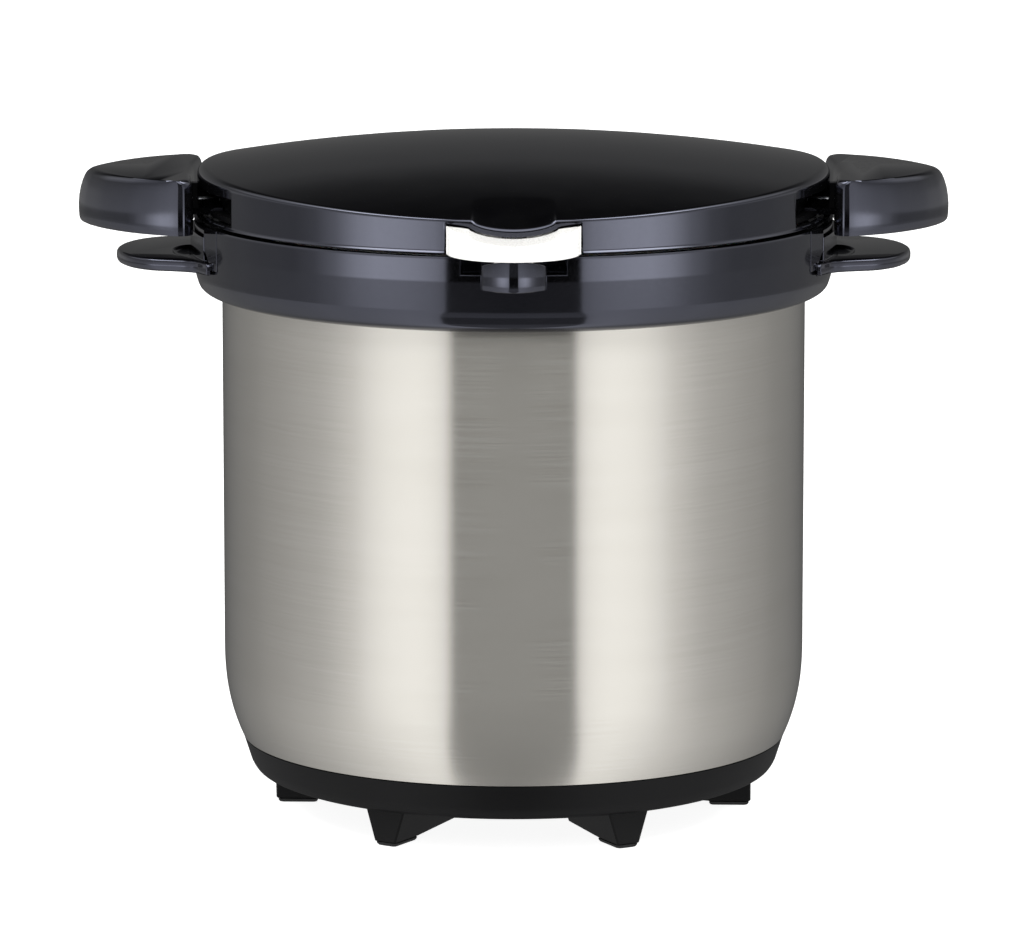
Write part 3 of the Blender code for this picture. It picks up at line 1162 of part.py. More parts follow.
def pot_lid():
    top = BAND_BOTTOM + BAND_HEIGHT
    inner_wall = BAND_OUTER_RADIUS - SHEET
    band = [(BAND_INNER_RADIUS, BAND_BOTTOM), (BAND_OUTER_RADIUS, BAND_BOTTOM),
            (BAND_OUTER_RADIUS, top), (BAND_OUTER_RADIUS - BAND_LIP, top),
            (BAND_OUTER_RADIUS - BAND_LIP, top - SHEET), (inner_wall, top - SHEET),
            (inner_wall, BAND_BOTTOM + SHEET), (BAND_INNER_RADIUS, BAND_BOTTOM + SHEET)]
    solid("pot_lid_band", turned(band, INNER_SEGMENTS), POLISHED_STEEL, pot_lid_carrier)
    glass_bottom = BAND_BOTTOM + SHEET + SEAT_GAP
    under = [(GLASS_HOLE_RADIUS, glass_bottom + GLASS_RISE)]
    under += [(GLASS_EDGE_RADIUS * share, glass_bottom + GLASS_RISE * (1 - share ** 2))
              for share in GLASS_SHARES]
    over = [(radius, height + GLASS_THICKNESS) for radius, height in under]
    glass = under + [(GLASS_EDGE_RADIUS, glass_bottom),
                     (GLASS_EDGE_RADIUS, glass_bottom + GLASS_EDGE_THICKNESS)] + over[::-1]
    solid("pot_lid_glass", turned(glass, INNER_SEGMENTS), LID_GLASS, pot_lid_carrier)
    knob_bottom = glass_bottom + GLASS_RISE + GLASS_THICKNESS + SEAT_GAP
    hole_radius = SCREW_HOLE_RADIUS
    profile = [(0, knob_bottom + KNOB_HOLE_DEPTH), (hole_radius, knob_bottom + KNOB_HOLE_DEPTH),
               (hole_radius, knob_bottom)]
    profile += [(KNOB_RADIUS * out, knob_bottom + KNOB_HEIGHT * up) for out, up in KNOB_SHARES]
    profile.append((0, knob_bottom + KNOB_HEIGHT))
    solid("pot_lid_knob", turned(profile, KNOB_SEGMENTS), SATIN_BLACK, pot_lid_carrier)
    head_top = glass_bottom + GLASS_RISE - SEAT_GAP
    shank_top = knob_bottom + KNOB_HOLE_DEPTH - SEAT_GAP
    screw_profile = [(0, head_top - SCREW_HEAD_HEIGHT),
                     (KNOB_SCREW_HEAD_RADIUS, head_top - SCREW_HEAD_HEIGHT),
                     (KNOB_SCREW_HEAD_RADIUS, head_top), (SCREW_RADIUS, head_top),
                     (SCREW_RADIUS, shank_top), (0, shank_top)]
    solid("knob_screw", turned(screw_profile, ROD_SEGMENTS), ZINC_STEEL, pot_lid_carrier)


outer_shell()
inner_vessel()
underside_parts()
base_cover()
foot_pads()
collar_ring = collar()
grip("grip_right", 1, collar_ring)
grip("grip_left", -1, collar_ring)
latch_catch(collar_ring)
hinge_bracket(collar_ring)
hinge_pin()
lid_cover()
handle_frame = lid_frame()
lid_plug()
lid_handle("lid_handle_right", 1, handle_frame)
lid_handle("lid_handle_left", -1, handle_frame)
latch_lever()
lever_pin_and_spring()
pot()
bail_ear("bail_ear_right", 1)
bail_ear("bail_ear_left", -1)
bail()
pot_lid()
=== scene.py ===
"""Thermal cooker: the finish of every piece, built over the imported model.

Lengths are metres and +Z is up. The thumb lever is at the front, towards -Y.
"""
import math

import bmesh
import bpy
from mathutils import Matrix, Vector


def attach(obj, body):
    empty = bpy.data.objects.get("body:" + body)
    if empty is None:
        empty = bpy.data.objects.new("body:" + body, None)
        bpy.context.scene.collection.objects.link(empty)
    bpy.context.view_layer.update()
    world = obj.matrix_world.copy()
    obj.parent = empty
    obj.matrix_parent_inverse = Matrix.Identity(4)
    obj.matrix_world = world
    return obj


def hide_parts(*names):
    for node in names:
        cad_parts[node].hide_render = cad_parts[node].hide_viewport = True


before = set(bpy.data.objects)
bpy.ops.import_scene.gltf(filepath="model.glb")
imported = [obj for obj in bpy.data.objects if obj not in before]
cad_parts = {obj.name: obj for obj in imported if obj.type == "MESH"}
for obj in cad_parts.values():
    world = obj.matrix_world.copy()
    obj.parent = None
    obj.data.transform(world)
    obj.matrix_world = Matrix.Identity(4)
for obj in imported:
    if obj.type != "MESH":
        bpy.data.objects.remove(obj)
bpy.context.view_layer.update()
MM = 0.001
scene = bpy.context.scene

# Camera: a long lens in front of the cooker that looks a little down on its lid.
CAMERA_PLACE = Vector((-0.7, -2800, 628.6)) * MM
CAMERA_AIM = Vector((-0.7, 0, 147.15)) * MM
CAMERA_LENS = 231.6
CAMERA_SENSOR = 36

camera_data = bpy.data.cameras.new("camera")
camera_data.lens = CAMERA_LENS
camera_data.sensor_width = CAMERA_SENSOR
camera_data.clip_end = 60
camera = bpy.data.objects.new("camera", camera_data)
camera.location = CAMERA_PLACE
camera.rotation_euler = (CAMERA_AIM - CAMERA_PLACE).to_track_quat("-Z", "Y").to_euler()
scene.collection.objects.link(camera)
scene.camera = camera
scene.view_settings.view_transform = "Standard"


def node(tree, kind, inputs=None, **settings):
    """Add a node with its settings; an input is a value, or a socket to link."""
    made = tree.nodes.new(kind)
    for name, value in settings.items():
        setattr(made, name, value)
    for name, value in (inputs or {}).items():
        if isinstance(value, bpy.types.NodeSocket):
            tree.links.new(value, made.inputs[name])
        else:
            made.inputs[name].default_value = value
    return made


def formula(tree, operation, *values, clamp=False):
    """One step of arithmetic on sockets and numbers."""
    return node(tree, "ShaderNodeMath", dict(enumerate(values)), operation=operation,
                use_clamp=clamp).outputs[0]


def linear(code):
    """An sRGB hex colour as linear RGBA."""
    parts = [int(code[place:place + 2], 16) / 255 for place in (1, 3, 5)]
    return [part / 12.92 if part <= 0.04045 else ((part + 0.055) / 1.055) ** 2.4
            for part in parts] + [1.0]


# Studio: two tall soft boxes in front, left and right, with a dark gap between
# them behind the camera; small lamps over them; a dim room and a pale table. All of
# it is a pattern on the world, by direction, so that every side is lit alike.
# Each light is its brightness by azimuth from the front, then by elevation.
STUDIO = {
    "soft boxes": (((0, 0), (23.4, 0), (24.6, 1.5), (29, 1.72), (38, 1.76), (46, 1.64),
                    (55, 1.48), (64, 1.3), (74, 1.18), (84, 0.98), (95, 0.82), (108, 0.62),
                    (123, 0.42), (140, 0.28), (155, 0.14), (170, 0), (180, 0)),
                   ((-90, 1), (-13, 1), (-12.4, 0.6), (-10.4, 0.6), (-9.6, 0.5), (-6.4, 0.5),
                    (-5.4, 1), (2, 0.85), (12, 0.6), (22, 0.3), (34, 0.06), (90, 0.05))),
    "lamps in the boxes": (((0, 0), (23.4, 0), (24.6, 1.4), (27, 1.9), (34.5, 2.8), (42, 3.3),
                            (50, 3.5), (58, 2.7), (66.7, 1.0), (75.6, 0.2), (85, 0), (180, 0)),
                           ((-90, 0), (-13, 0), (-12.4, 0.3), (-10.4, 0.3), (-9.5, 1), (-6.5, 1),
                            (-5.5, 0), (90, 0))),
    "room behind": (((0, 0), (80, 0), (115, 1), (180, 1)),
                    ((-90, 0.08), (-40, 0.1), (-22, 0.14), (20, 0.14), (23, 0.11), (26.5, 0.06),
                     (30, 0.04), (35, 0.01), (90, 0))),
    "side fills": (((0, 0), (100, 0), (118, 0.3), (135, 0.4), (150, 0.3), (162, 0), (180, 0)),
                   ((-90, 0), (-7.6, 0), (-6.2, 0.3), (3, 0.3), (6, 0), (90, 0))),
    "light above the front": (((0, 1), (23, 1), (27, 0.12), (60, 0.12), (95, 0.3), (118, 0.25),
                               (140, 0), (180, 0)),
                              ((-90, 0), (15, 0), (26, 4), (56, 4), (70, 0.2), (90, 0.02))),
    "small lamps above": (((0, 0), (28, 0), (34, 1), (72, 1), (90, 0.3), (110, 0.1), (120, 0),
                           (180, 0)),
                          ((-90, 0), (37, 0), (41, 9), (58, 9), (61, 0), (90, 0))),
    "table in the gap": (((0, 1), (23.2, 1), (25, 0), (180, 0)),
                         ((-90, 0.5), (-52, 0.5), (-48, 0.25), (-38, 0.25), (-34, 0.55),
                          (-18, 0.5), (-13, 0.17), (-10.4, 0.17), (-9.5, 0), (-6.4, 0),
                          (-5, 0.2), (8, 0.2), (15, 0), (90, 0)))}

world = bpy.data.worlds.new("studio")
world.use_nodes = True
sky = world.node_tree
sky.nodes.clear()
toward = node(sky, "ShaderNodeTexCoord").outputs["Generated"]
along = node(sky, "ShaderNodeSeparateXYZ", {0: toward}).outputs
azimuth = formula(sky, "ARCTAN2", along["X"], formula(sky, "MULTIPLY", along["Y"], -1))
rise = formula(sky, "ARCSINE", along["Z"])
# The boxes stand further apart towards the floor, by a fifth of the angle down.
sunk = formula(sky, "MULTIPLY_ADD", rise, -0.2, math.radians(-2))
spread = formula(sky, "SUBTRACT", formula(sky, "ABSOLUTE", azimuth),
                 formula(sky, "MAXIMUM", sunk, 0))


def by_angle(angle, low, high, stops, peak):
    """Brightness over an angle, in degrees, as a ramp between stops."""
    share = node(sky, "ShaderNodeMapRange", {"Value": angle, "From Min": math.radians(low),
                                             "From Max": math.radians(high)})
    ramp = node(sky, "ShaderNodeValToRGB", {0: share.outputs[0]})
    marks = ramp.color_ramp.elements
    for degrees, bright in stops:
        at = (degrees - low) / (high - low)
        mark = marks[-round(at)] if at in (0, 1) else marks.new(at)
        mark.color = (bright / peak,) * 3 + (1,)
    return formula(sky, "MULTIPLY", ramp.outputs[0], peak)


def start_material(name, colour, roughness, metallic=0.0):
    """A material of one colour, with its tree and shader at hand."""
    material = bpy.data.materials.new(name)
    material.use_nodes = True
    shader = material.node_tree.nodes["Principled BSDF"]
    shader.inputs["Base Color"].default_value = linear(colour)
    shader.inputs["Roughness"].default_value = roughness
    shader.inputs["Metallic"].default_value = metallic
    return material, material.node_tree, shader


glow = 0.0
for sideways, upright in STUDIO.values():
    wide = by_angle(spread, 0, 180, sideways, max(bright for _, bright in sideways))
    tall = by_angle(rise, -90, 90, upright, max(bright for _, bright in upright))
    glow = formula(sky, "MULTIPLY_ADD", wide, tall, glow)
seen = node(sky, "ShaderNodeLightPath").outputs["Is Camera Ray"]
lit = node(sky, "ShaderNodeBackground", {"Strength": glow})
plain = node(sky, "ShaderNodeBackground", {"Color": linear("#FAFAFA")})
mixed = node(sky, "ShaderNodeMixShader", {0: seen, 1: lit.outputs[0], 2: plain.outputs[0]})
node(sky, "ShaderNodeOutputWorld", {"Surface": mixed.outputs[0]})
scene.world = world

FLOOR_RADIUS = 30
floor_shape = bmesh.new()
bmesh.ops.create_circle(floor_shape, cap_ends=True, segments=96, radius=FLOOR_RADIUS)
floor_mesh = bpy.data.meshes.new("floor")
floor_shape.to_mesh(floor_mesh)
floor_shape.free()
floor = bpy.data.objects.new("floor", floor_mesh)
scene.collection.objects.link(floor)
floor.visible_glossy = False
paper, _, paper_shader = start_material("white_paper", "#B4B4B4", 0.9)
paper_shader.inputs["Emission Color"].default_value = linear("#FFFFFF")
paper_shader.inputs["Emission Strength"].default_value = 0.92
floor_mesh.materials.append(paper)

# Outer shell: one skin of stainless steel sheet, deep drawn, drawn in to a
# narrower foot and brushed round and round on a lathe.
BODY_RADIUS = 125 * MM
BODY_TOP = 250.1 * MM
TAPER_TOP = 72.8 * MM
TAPER_IN = 7.7 * MM
TAPER_POWER = 2.4
FOOT_HEIGHT = 32.7 * MM
SHELL_SHEET = 0.8 * MM
SHELL_AROUND = 256
SHELL_ROWS = 60
BRUSH_LINE = 0.5 * MM
BRUSH_LENGTH = 60 * MM


def streaks(tree, size, detail=3):
    """Noise whose grains have the given size along X, Y and Z, in metres."""
    place = node(tree, "ShaderNodeTexCoord").outputs["Object"]
    scaled = node(tree, "ShaderNodeMapping",
                  {"Vector": place, "Scale": [1 / length for length in size]})
    return node(tree, "ShaderNodeTexNoise",
                {"Vector": scaled.outputs[0], "Scale": 1, "Detail": detail}).outputs[0]


def between(tree, value, low, high):
    """Noise stretched to run from one value to another."""
    return node(tree, "ShaderNodeMapRange", {"Value": value, "From Min": 0.3, "From Max": 0.7,
                                             "To Min": low, "To Max": high}).outputs[0]


def clouded(tree, shader, value, dark, light):
    """Let the colour run from dark to light with a value."""
    colour = node(tree, "ShaderNodeMix", {"Factor": between(tree, value, 0, 1),
                                          "A": linear(dark), "B": linear(light)},
                  data_type="RGBA").outputs["Result"]
    tree.links.new(colour, shader.inputs["Base Color"])


def worn(tree, shader, value, low, high):
    """Let the roughness run between two values."""
    tree.links.new(between(tree, value, low, high), shader.inputs["Roughness"])


def relief(tree, shader, value, depth):
    """Raise the surface by a value, to a real depth."""
    bump = node(tree, "ShaderNodeBump", {"Height": value, "Distance": depth, "Strength": 1})
    tree.links.new(bump.outputs[0], shader.inputs["Normal"])


def brushed_stainless():
    """Fine lines run round the body, finer than a pixel, so they are drawn at half
    a millimetre. They spread a reflection up and down and keep its sides sharp."""
    material, tree, shader = start_material("brushed_stainless_steel", "#C3C0B9", 0.25, 1.0)
    lines = streaks(tree, (BRUSH_LENGTH, BRUSH_LENGTH, BRUSH_LINE))
    cloud = streaks(tree, (90 * MM, 90 * MM, 14 * MM), 1)
    both = node(tree, "ShaderNodeMix", {"Factor": 0.3, "A": lines, "B": cloud}).outputs["Result"]
    clouded(tree, shader, both, "#C0BDB6", "#C6C3BD")
    worn(tree, shader, lines, 0.235, 0.265)
    shader.inputs["Anisotropic"].default_value = 1.0
    shader.inputs["Anisotropic Rotation"].default_value = 0.25
    round_body = node(tree, "ShaderNodeTangent", direction_type="RADIAL", axis="Z")
    tree.links.new(round_body.outputs[0], shader.inputs["Tangent"])
    relief(tree, shader, lines, 0.0015 * MM)
    return material


def named_inputs(tree, sockets):
    """Give a node tree its inputs, and return the sockets that carry them."""
    for name, kind in sockets:
        tree.interface.new_socket(name, in_out="INPUT", socket_type="NodeSocket" + kind)
    tree.interface.new_socket("Geometry", in_out="OUTPUT", socket_type="NodeSocketGeometry")
    return node(tree, "NodeGroupInput").outputs


def finished_tree(tree, last, material):
    """End a tree with a real mesh in its material."""
    whole = node(tree, "GeometryNodeRealizeInstances", {"Geometry": last.outputs[0]})
    dressed = node(tree, "GeometryNodeSetMaterial", {"Geometry": whole.outputs[0],
                                                     "Material": material})
    node(tree, "NodeGroupOutput", {"Geometry": dressed.outputs[0]})
    return tree


def drawn_skin_tree():
    """A skin of revolution: straight above, drawn in to the foot by a power curve."""
    tree = bpy.data.node_groups.new("drawn_skin", "GeometryNodeTree")
    given = named_inputs(tree, (("Radius", "Float"), ("Top", "Float"), ("Taper Top", "Float"),
                                ("Taper In", "Float"), ("Taper Power", "Float"),
                                ("Foot", "Float"), ("Around", "Int"), ("Rows", "Int"),
                                ("Material", "Material")))
    corners = formula(tree, "ADD", given["Around"], 1)
    sheet = node(tree, "GeometryNodeMeshGrid", {"Size X": 1.0, "Size Y": 1.0, "Vertices X": corners,
                                                "Vertices Y": given["Rows"]})
    flat = node(tree, "ShaderNodeSeparateXYZ",
                {0: node(tree, "GeometryNodeInputPosition").outputs[0]}).outputs
    turn = formula(tree, "MULTIPLY", formula(tree, "ADD", flat["X"], 0.5), 2 * math.pi)
    share = formula(tree, "POWER", formula(tree, "ADD", flat["Y"], 0.5, clamp=True), 1.8)
    tall = formula(tree, "SUBTRACT", given["Top"], given["Foot"])
    height = formula(tree, "MULTIPLY_ADD", share, tall, given["Foot"])
    below = formula(tree, "SUBTRACT", given["Taper Top"], height)
    reach = formula(tree, "SUBTRACT", given["Taper Top"], given["Foot"])
    drop = formula(tree, "DIVIDE", below, reach, clamp=True)
    drawn = formula(tree, "MULTIPLY", formula(tree, "POWER", drop, given["Taper Power"]),
                    given["Taper In"])
    radius = formula(tree, "SUBTRACT", given["Radius"], drawn)
    place = node(tree, "ShaderNodeCombineXYZ",
                 {"X": formula(tree, "MULTIPLY", radius, formula(tree, "COSINE", turn)),
                  "Y": formula(tree, "MULTIPLY", radius, formula(tree, "SINE", turn)),
                  "Z": height})
    rolled = node(tree, "GeometryNodeSetPosition", {"Geometry": sheet.outputs["Mesh"],
                                                    "Position": place.outputs[0]})
    seamed = node(tree, "GeometryNodeMergeByDistance", {"Geometry": rolled.outputs[0],
                                                        "Distance": 0.001 * MM})
    return finished_tree(tree, seamed, given["Material"])


def settle(piece, shade=True):
    """Turn a piece's modifiers into a plain mesh with smooth faces and sharp corners."""
    bpy.context.view_layer.update()
    graph = bpy.context.evaluated_depsgraph_get()
    piece.data = bpy.data.meshes.new_from_object(piece.evaluated_get(graph))
    piece.modifiers.clear()
    if shade:
        piece.data.shade_smooth()
        piece.data.set_sharp_from_angle(angle=math.radians(32))
    return piece


def grown(name, tree, values):
    """The plain mesh that a node tree makes from its named inputs."""
    piece = bpy.data.objects.new(name, bpy.data.meshes.new(name))
    scene.collection.objects.link(piece)
    growth = piece.modifiers.new("growth", "NODES")
    growth.node_group = tree
    for socket in tree.interface.items_tree:
        if socket.in_out == "INPUT":
            growth[socket.identifier] = values[socket.name]
    return settle(piece)


def fit(piece, body, slot, *nodes):
    """Let a piece ride on its body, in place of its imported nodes."""
    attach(piece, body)
    if nodes:
        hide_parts(*nodes)
    return piece


STEEL = brushed_stainless()
shell = grown("outer_shell_skin", drawn_skin_tree(), {
    "Radius": BODY_RADIUS, "Top": BODY_TOP, "Taper Top": TAPER_TOP, "Taper In": TAPER_IN,
    "Taper Power": TAPER_POWER, "Foot": FOOT_HEIGHT, "Around": SHELL_AROUND,
    "Rows": SHELL_ROWS, "Material": STEEL})
wall = shell.modifiers.new("wall", "SOLIDIFY")
wall.thickness = SHELL_SHEET
wall.offset = -1
settle(shell)
fit(shell, "container", "brushed_steel", "outer_shell")

# Base cover: a satin black polypropylene pan, moulded with six radial ribs that
# stand on rubber pads, held by three screws from below.
COVER_CORNERS = ((0, 20.4, 0), (101, 20.4, 0.8), (103.4, 16.2, 0.6), (107, 16.2, 1.1),
                 (111.4, 18.0, 1.6), (113.6, 21.3, 1.6), (117.1, 32.2, 0.4), (114, 32.2, 0.3),
                 (113.6, 27, 1), (106, 22.9, 1), (0, 22.9, 0))
TURNED_SEGMENTS = 192
RIB_REACH = 103 * MM
RIB_TOP = 21.6 * MM
RIB_BOTTOM = 1.9 * MM
RIB_LEVEL = 18 * MM
RIB_SLOPE = math.radians(5)
RIB_TOP_HALF = 11.4 * MM
RIB_BOTTOM_HALF = 5.2 * MM
LONG_RIB_INNER = 38 * MM
SHORT_RIB_INNER = 61 * MM
PAD_TOP = 1.6 * MM
PAD_BOTTOM_HALF = 4.9 * MM
SCREW_CIRCLE = 57 * MM
RIB_TURN = -1.9


def eased(corners, unit=MM, steps=5):
    """A path of points whose corners, given as (x, y, ease), are rounded."""
    path = []
    for index, (x, y, ease) in enumerate(corners):
        here = Vector((x, y))
        if not ease:
            path.append(here * unit)
            continue
        before = Vector(corners[index - 1][:2]) - here
        after = Vector(corners[(index + 1) % len(corners)][:2]) - here
        start = here + before.normalized() * ease
        end = here + after.normalized() * ease
        for step in range(steps + 1):
            share = step / steps
            bend = start * (1 - share) ** 2 + here * 2 * share * (1 - share) + end * share ** 2
            path.append(bend * unit)
    return path


def turned(path, segments=TURNED_SEGMENTS):
    """A path of (radius, height) turned about Z, closed on itself or at the axis."""
    shape = bmesh.new()
    points = [shape.verts.new((radius, 0, height)) for radius, height in path]
    edges = [shape.edges.new(pair) for pair in zip(points, points[1:])]
    if path[0][0] > 0:
        edges.append(shape.edges.new((points[-1], points[0])))
    bmesh.ops.spin(shape, geom=points + edges, axis=(0, 0, 1), cent=(0, 0, 0),
                   angle=2 * math.pi, steps=segments)
    bmesh.ops.remove_doubles(shape, verts=shape.verts, dist=0.001 * MM)
    bmesh.ops.recalc_face_normals(shape, faces=shape.faces)
    return shape


def skin(rings):
    """A closed skin over rings of points, with a cap on each end."""
    shape = bmesh.new()
    rows = [[shape.verts.new(point) for point in ring] for ring in rings]
    for low, high in zip(rows, rows[1:]):
        for index in range(len(low)):
            after = (index + 1) % len(low)
            shape.faces.new((low[index], low[after], high[after], high[index]))
    shape.faces.new(rows[0])
    shape.faces.new(rows[-1])
    bmesh.ops.recalc_face_normals(shape, faces=shape.faces)
    return shape


def piece_of(name, shape, material):
    """A finished shape as an object in the scene."""
    mesh = bpy.data.meshes.new(name)
    shape.to_mesh(mesh)
    shape.free()
    mesh.materials.append(material)
    piece = bpy.data.objects.new(name, mesh)
    scene.collection.objects.link(piece)
    return settle(piece)


def softened(piece, width, segments=3, angle=32):
    """Round a piece's sharp edges, and keep the faces beside them flat."""
    step = piece.modifiers.new("soft_edges", "BEVEL")
    step.width = width
    step.segments = segments
    step.limit_method = "ANGLE"
    step.angle_limit = math.radians(angle)
    step.use_clamp_overlap = False
    step.harden_normals = True
    return settle(piece, shade=False)


def turned_part(name, corners, material, body, slot, packed, steps=5):
    """A part turned from a path of corners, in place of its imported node."""
    return fit(piece_of(name, turned(eased(corners, steps=steps)), material), body, slot, packed)


def satin_polypropylene():
    """A sparked mould gives a fine even grain, about a third of a millimetre."""
    material, tree, shader = start_material("satin_polypropylene", "#0A0A0B", 0.45)
    grain = streaks(tree, (0.35 * MM,) * 3, 2)
    clouded(tree, shader, streaks(tree, (22 * MM,) * 3), "#050506", "#070708")
    shader.inputs["Specular IOR Level"].default_value = 0.15
    worn(tree, shader, grain, 0.42, 0.52)
    relief(tree, shader, grain, 0.02 * MM)
    return material


def black_rubber():
    """Moulded rubber: dull, with a faint bloom of lighter dust."""
    material, tree, shader = start_material("black_rubber", "#111112", 0.8)
    bloom = streaks(tree, (6 * MM,) * 3)
    clouded(tree, shader, bloom, "#0E0E0F", "#161617")
    relief(tree, shader, streaks(tree, (0.5 * MM,) * 3), 0.04 * MM)
    return material


def zinc_plated_steel():
    """Bright zinc over steel, with the slight cloud of the plating bath."""
    material, tree, shader = start_material("zinc_plated_steel", "#B9BCC0", 0.35, 1.0)
    cloud = streaks(tree, (2.5 * MM,) * 3)
    clouded(tree, shader, cloud, "#A9ACB1", "#C6C8CA")
    worn(tree, shader, cloud, 0.28, 0.42)
    return material


def ring_of_copies_tree():
    """Copies of one shape, turned about Z by equal steps."""
    tree = bpy.data.node_groups.new("ring_of_copies", "GeometryNodeTree")
    given = named_inputs(tree, (("Shape", "Object"), ("Count", "Int"), ("First Turn", "Float"),
                                ("Step", "Float"), ("Material", "Material")))
    shape = node(tree, "GeometryNodeObjectInfo", {"Object": given["Shape"]})
    points = node(tree, "GeometryNodePoints", {"Count": given["Count"]})
    turn = formula(tree, "MULTIPLY_ADD", node(tree, "GeometryNodeInputIndex").outputs[0],
                   given["Step"], given["First Turn"])
    facing = node(tree, "ShaderNodeCombineXYZ", {"Z": turn})
    copies = node(tree, "GeometryNodeInstanceOnPoints",
                  {"Points": points.outputs[0], "Instance": shape.outputs["Geometry"],
                   "Rotation": facing.outputs[0]})
    return finished_tree(tree, copies, given["Material"])


RING_OF_COPIES = ring_of_copies_tree()


def ring_of(name, shape, count, first, step, material):
    """A ring of copies of a shape, as one plain mesh."""
    pattern = piece_of(name + "_pattern", shape, material)
    ring = grown(name, RING_OF_COPIES, {"Shape": pattern, "Count": count, "First Turn": first,
                                        "Step": step, "Material": material})
    bpy.data.objects.remove(pattern)
    return ring


def rib(inner):
    """One foot rib along +X: level over its pad, then rising towards the middle."""
    level = RIB_REACH - RIB_LEVEL
    raised = RIB_BOTTOM + (level - inner) * math.tan(RIB_SLOPE)
    rings = []
    for place, bottom, shrink in ((RIB_REACH, RIB_BOTTOM, 0.7),
                                  (RIB_REACH - 0.7 * MM, RIB_BOTTOM, 0),
                                  (level, RIB_BOTTOM, 0), (inner, raised, 0)):
        share = (bottom - RIB_BOTTOM) / (RIB_TOP - RIB_BOTTOM)
        low = (RIB_BOTTOM_HALF + (RIB_TOP_HALF - RIB_BOTTOM_HALF) * share) / MM - shrink
        high = RIB_TOP_HALF / MM - shrink
        foot = bottom / MM + shrink / 2
        section = eased(((-low, foot, 0.5), (low, foot, 0.5),
                         (high, RIB_TOP / MM, 0), (-high, RIB_TOP / MM, 0)))
        rings.append([(place, y, z) for y, z in section])
    return skin(rings)


def foot_pad():
    """One rubber pad along +X, rounded towards the table."""
    outer = RIB_REACH - 0.8 * MM
    inner = RIB_REACH - RIB_LEVEL
    rings = []
    for height, shrink in ((0, 1.1), (0.25 * MM, 0.5), (0.8 * MM, 0.1), (PAD_TOP, 0)):
        share = height / PAD_TOP
        half = PAD_BOTTOM_HALF + (RIB_BOTTOM_HALF - PAD_BOTTOM_HALF) * share - shrink * MM
        low, high = inner + shrink * MM, outer - shrink * MM
        outline = eased(((low, -half, 1.2 * MM), (high, -half, 1.6 * MM), (high, half, 1.6 * MM),
                         (low, half, 1.2 * MM)), unit=1)
        rings.append([(x, y, height) for x, y in outline])
    return skin(rings)


def pan_head_screw(length):
    """A pan-head screw along Z with a cross recess: head below zero, shank above."""
    shape = turned(eased(((0, -1.8, 0), (1.6, -1.8, 0.4), (2.7, -1.1, 0.8), (2.8, 0, 0.1),
                          (1.5, 0, 0), (1.5, length / MM - 0.6, 0.2), (0.9, length / MM, 0),
                          (0, length / MM, 0)), steps=3), 24)
    for turn in (0, math.pi / 2):
        wing = bmesh.ops.create_cube(shape, size=1, matrix=(
            Matrix.Rotation(turn, 4, "Z") @ Matrix.Translation((0, 0, -1.82 * MM))
            @ Matrix.Diagonal((2.6 * MM, 0.5 * MM, 0.05 * MM, 1))))["verts"]
        bmesh.ops.recalc_face_normals(shape, faces=list({f for v in wing for f in v.link_faces}))
    return shape


POLYPROPYLENE = satin_polypropylene()
RUBBER = black_rubber()
ZINC = zinc_plated_steel()
turned_part("base_cover_pan", COVER_CORNERS, POLYPROPYLENE, "container", "satin_black",
            "base_cover")
for kind, inner, first in (("long", LONG_RIB_INNER, 0), ("short", SHORT_RIB_INNER, 60)):
    ribs = ring_of(f"base_ribs_{kind}", rib(inner), 3, math.radians(first + RIB_TURN),
                   math.radians(120), POLYPROPYLENE)
    fit(ribs, "container", "satin_black")
pads = ring_of("foot_pad_ring", foot_pad(), 6, math.radians(RIB_TURN),
               math.radians(60), RUBBER)
fit(pads, "container", "rubber", *[f"foot_pad_{number}" for number in range(1, 7)])
base_screw = pan_head_screw(7.2 * MM)
bmesh.ops.translate(base_screw, verts=base_screw.verts, vec=(SCREW_CIRCLE, 0, 20.1 * MM))
screws = ring_of("base_screw_ring", base_screw, 3, math.radians(90), math.radians(120), ZINC)
fit(screws, "container", "zinc_steel", "base_screw_1", "base_screw_2", "base_screw_3")

# Inner vessel: a polished steel cup with a flange over the shell's edge. Under it
# are the seal cap of the vacuum and the bracket ring that takes the screws.
VESSEL_CORNERS = ((0, 33.9, 0), (119, 33.9, 21), (119, 250.4, 0.3), (125, 250.4, 0.2),
                  (125, 251.2, 0.2), (118.2, 251.2, 0.9), (118.2, 34.7, 20.5), (0, 34.7, 0))


def polished_stainless():
    """Turned and polished: lines round the axis that are only just there."""
    material, tree, shader = start_material("polished_stainless_steel", "#D2D1CE", 0.16, 1.0)
    lines = streaks(tree, (25 * MM, 25 * MM, 0.8 * MM))
    clouded(tree, shader, lines, "#CDCCC9", "#D8D7D5")
    worn(tree, shader, lines, 0.13, 0.20)
    relief(tree, shader, lines, 0.002 * MM)
    return material


def refinish(material, *names):
    """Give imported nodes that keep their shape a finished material."""
    for name in names:
        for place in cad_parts[name].material_slots:
            place.material = material


POLISHED = polished_stainless()
turned_part("inner_vessel_cup", VESSEL_CORNERS, POLISHED, "container", "polished_steel",
            "inner_vessel", 8)
refinish(POLISHED, "vacuum_seal_cap")
refinish(ZINC, "base_bracket")

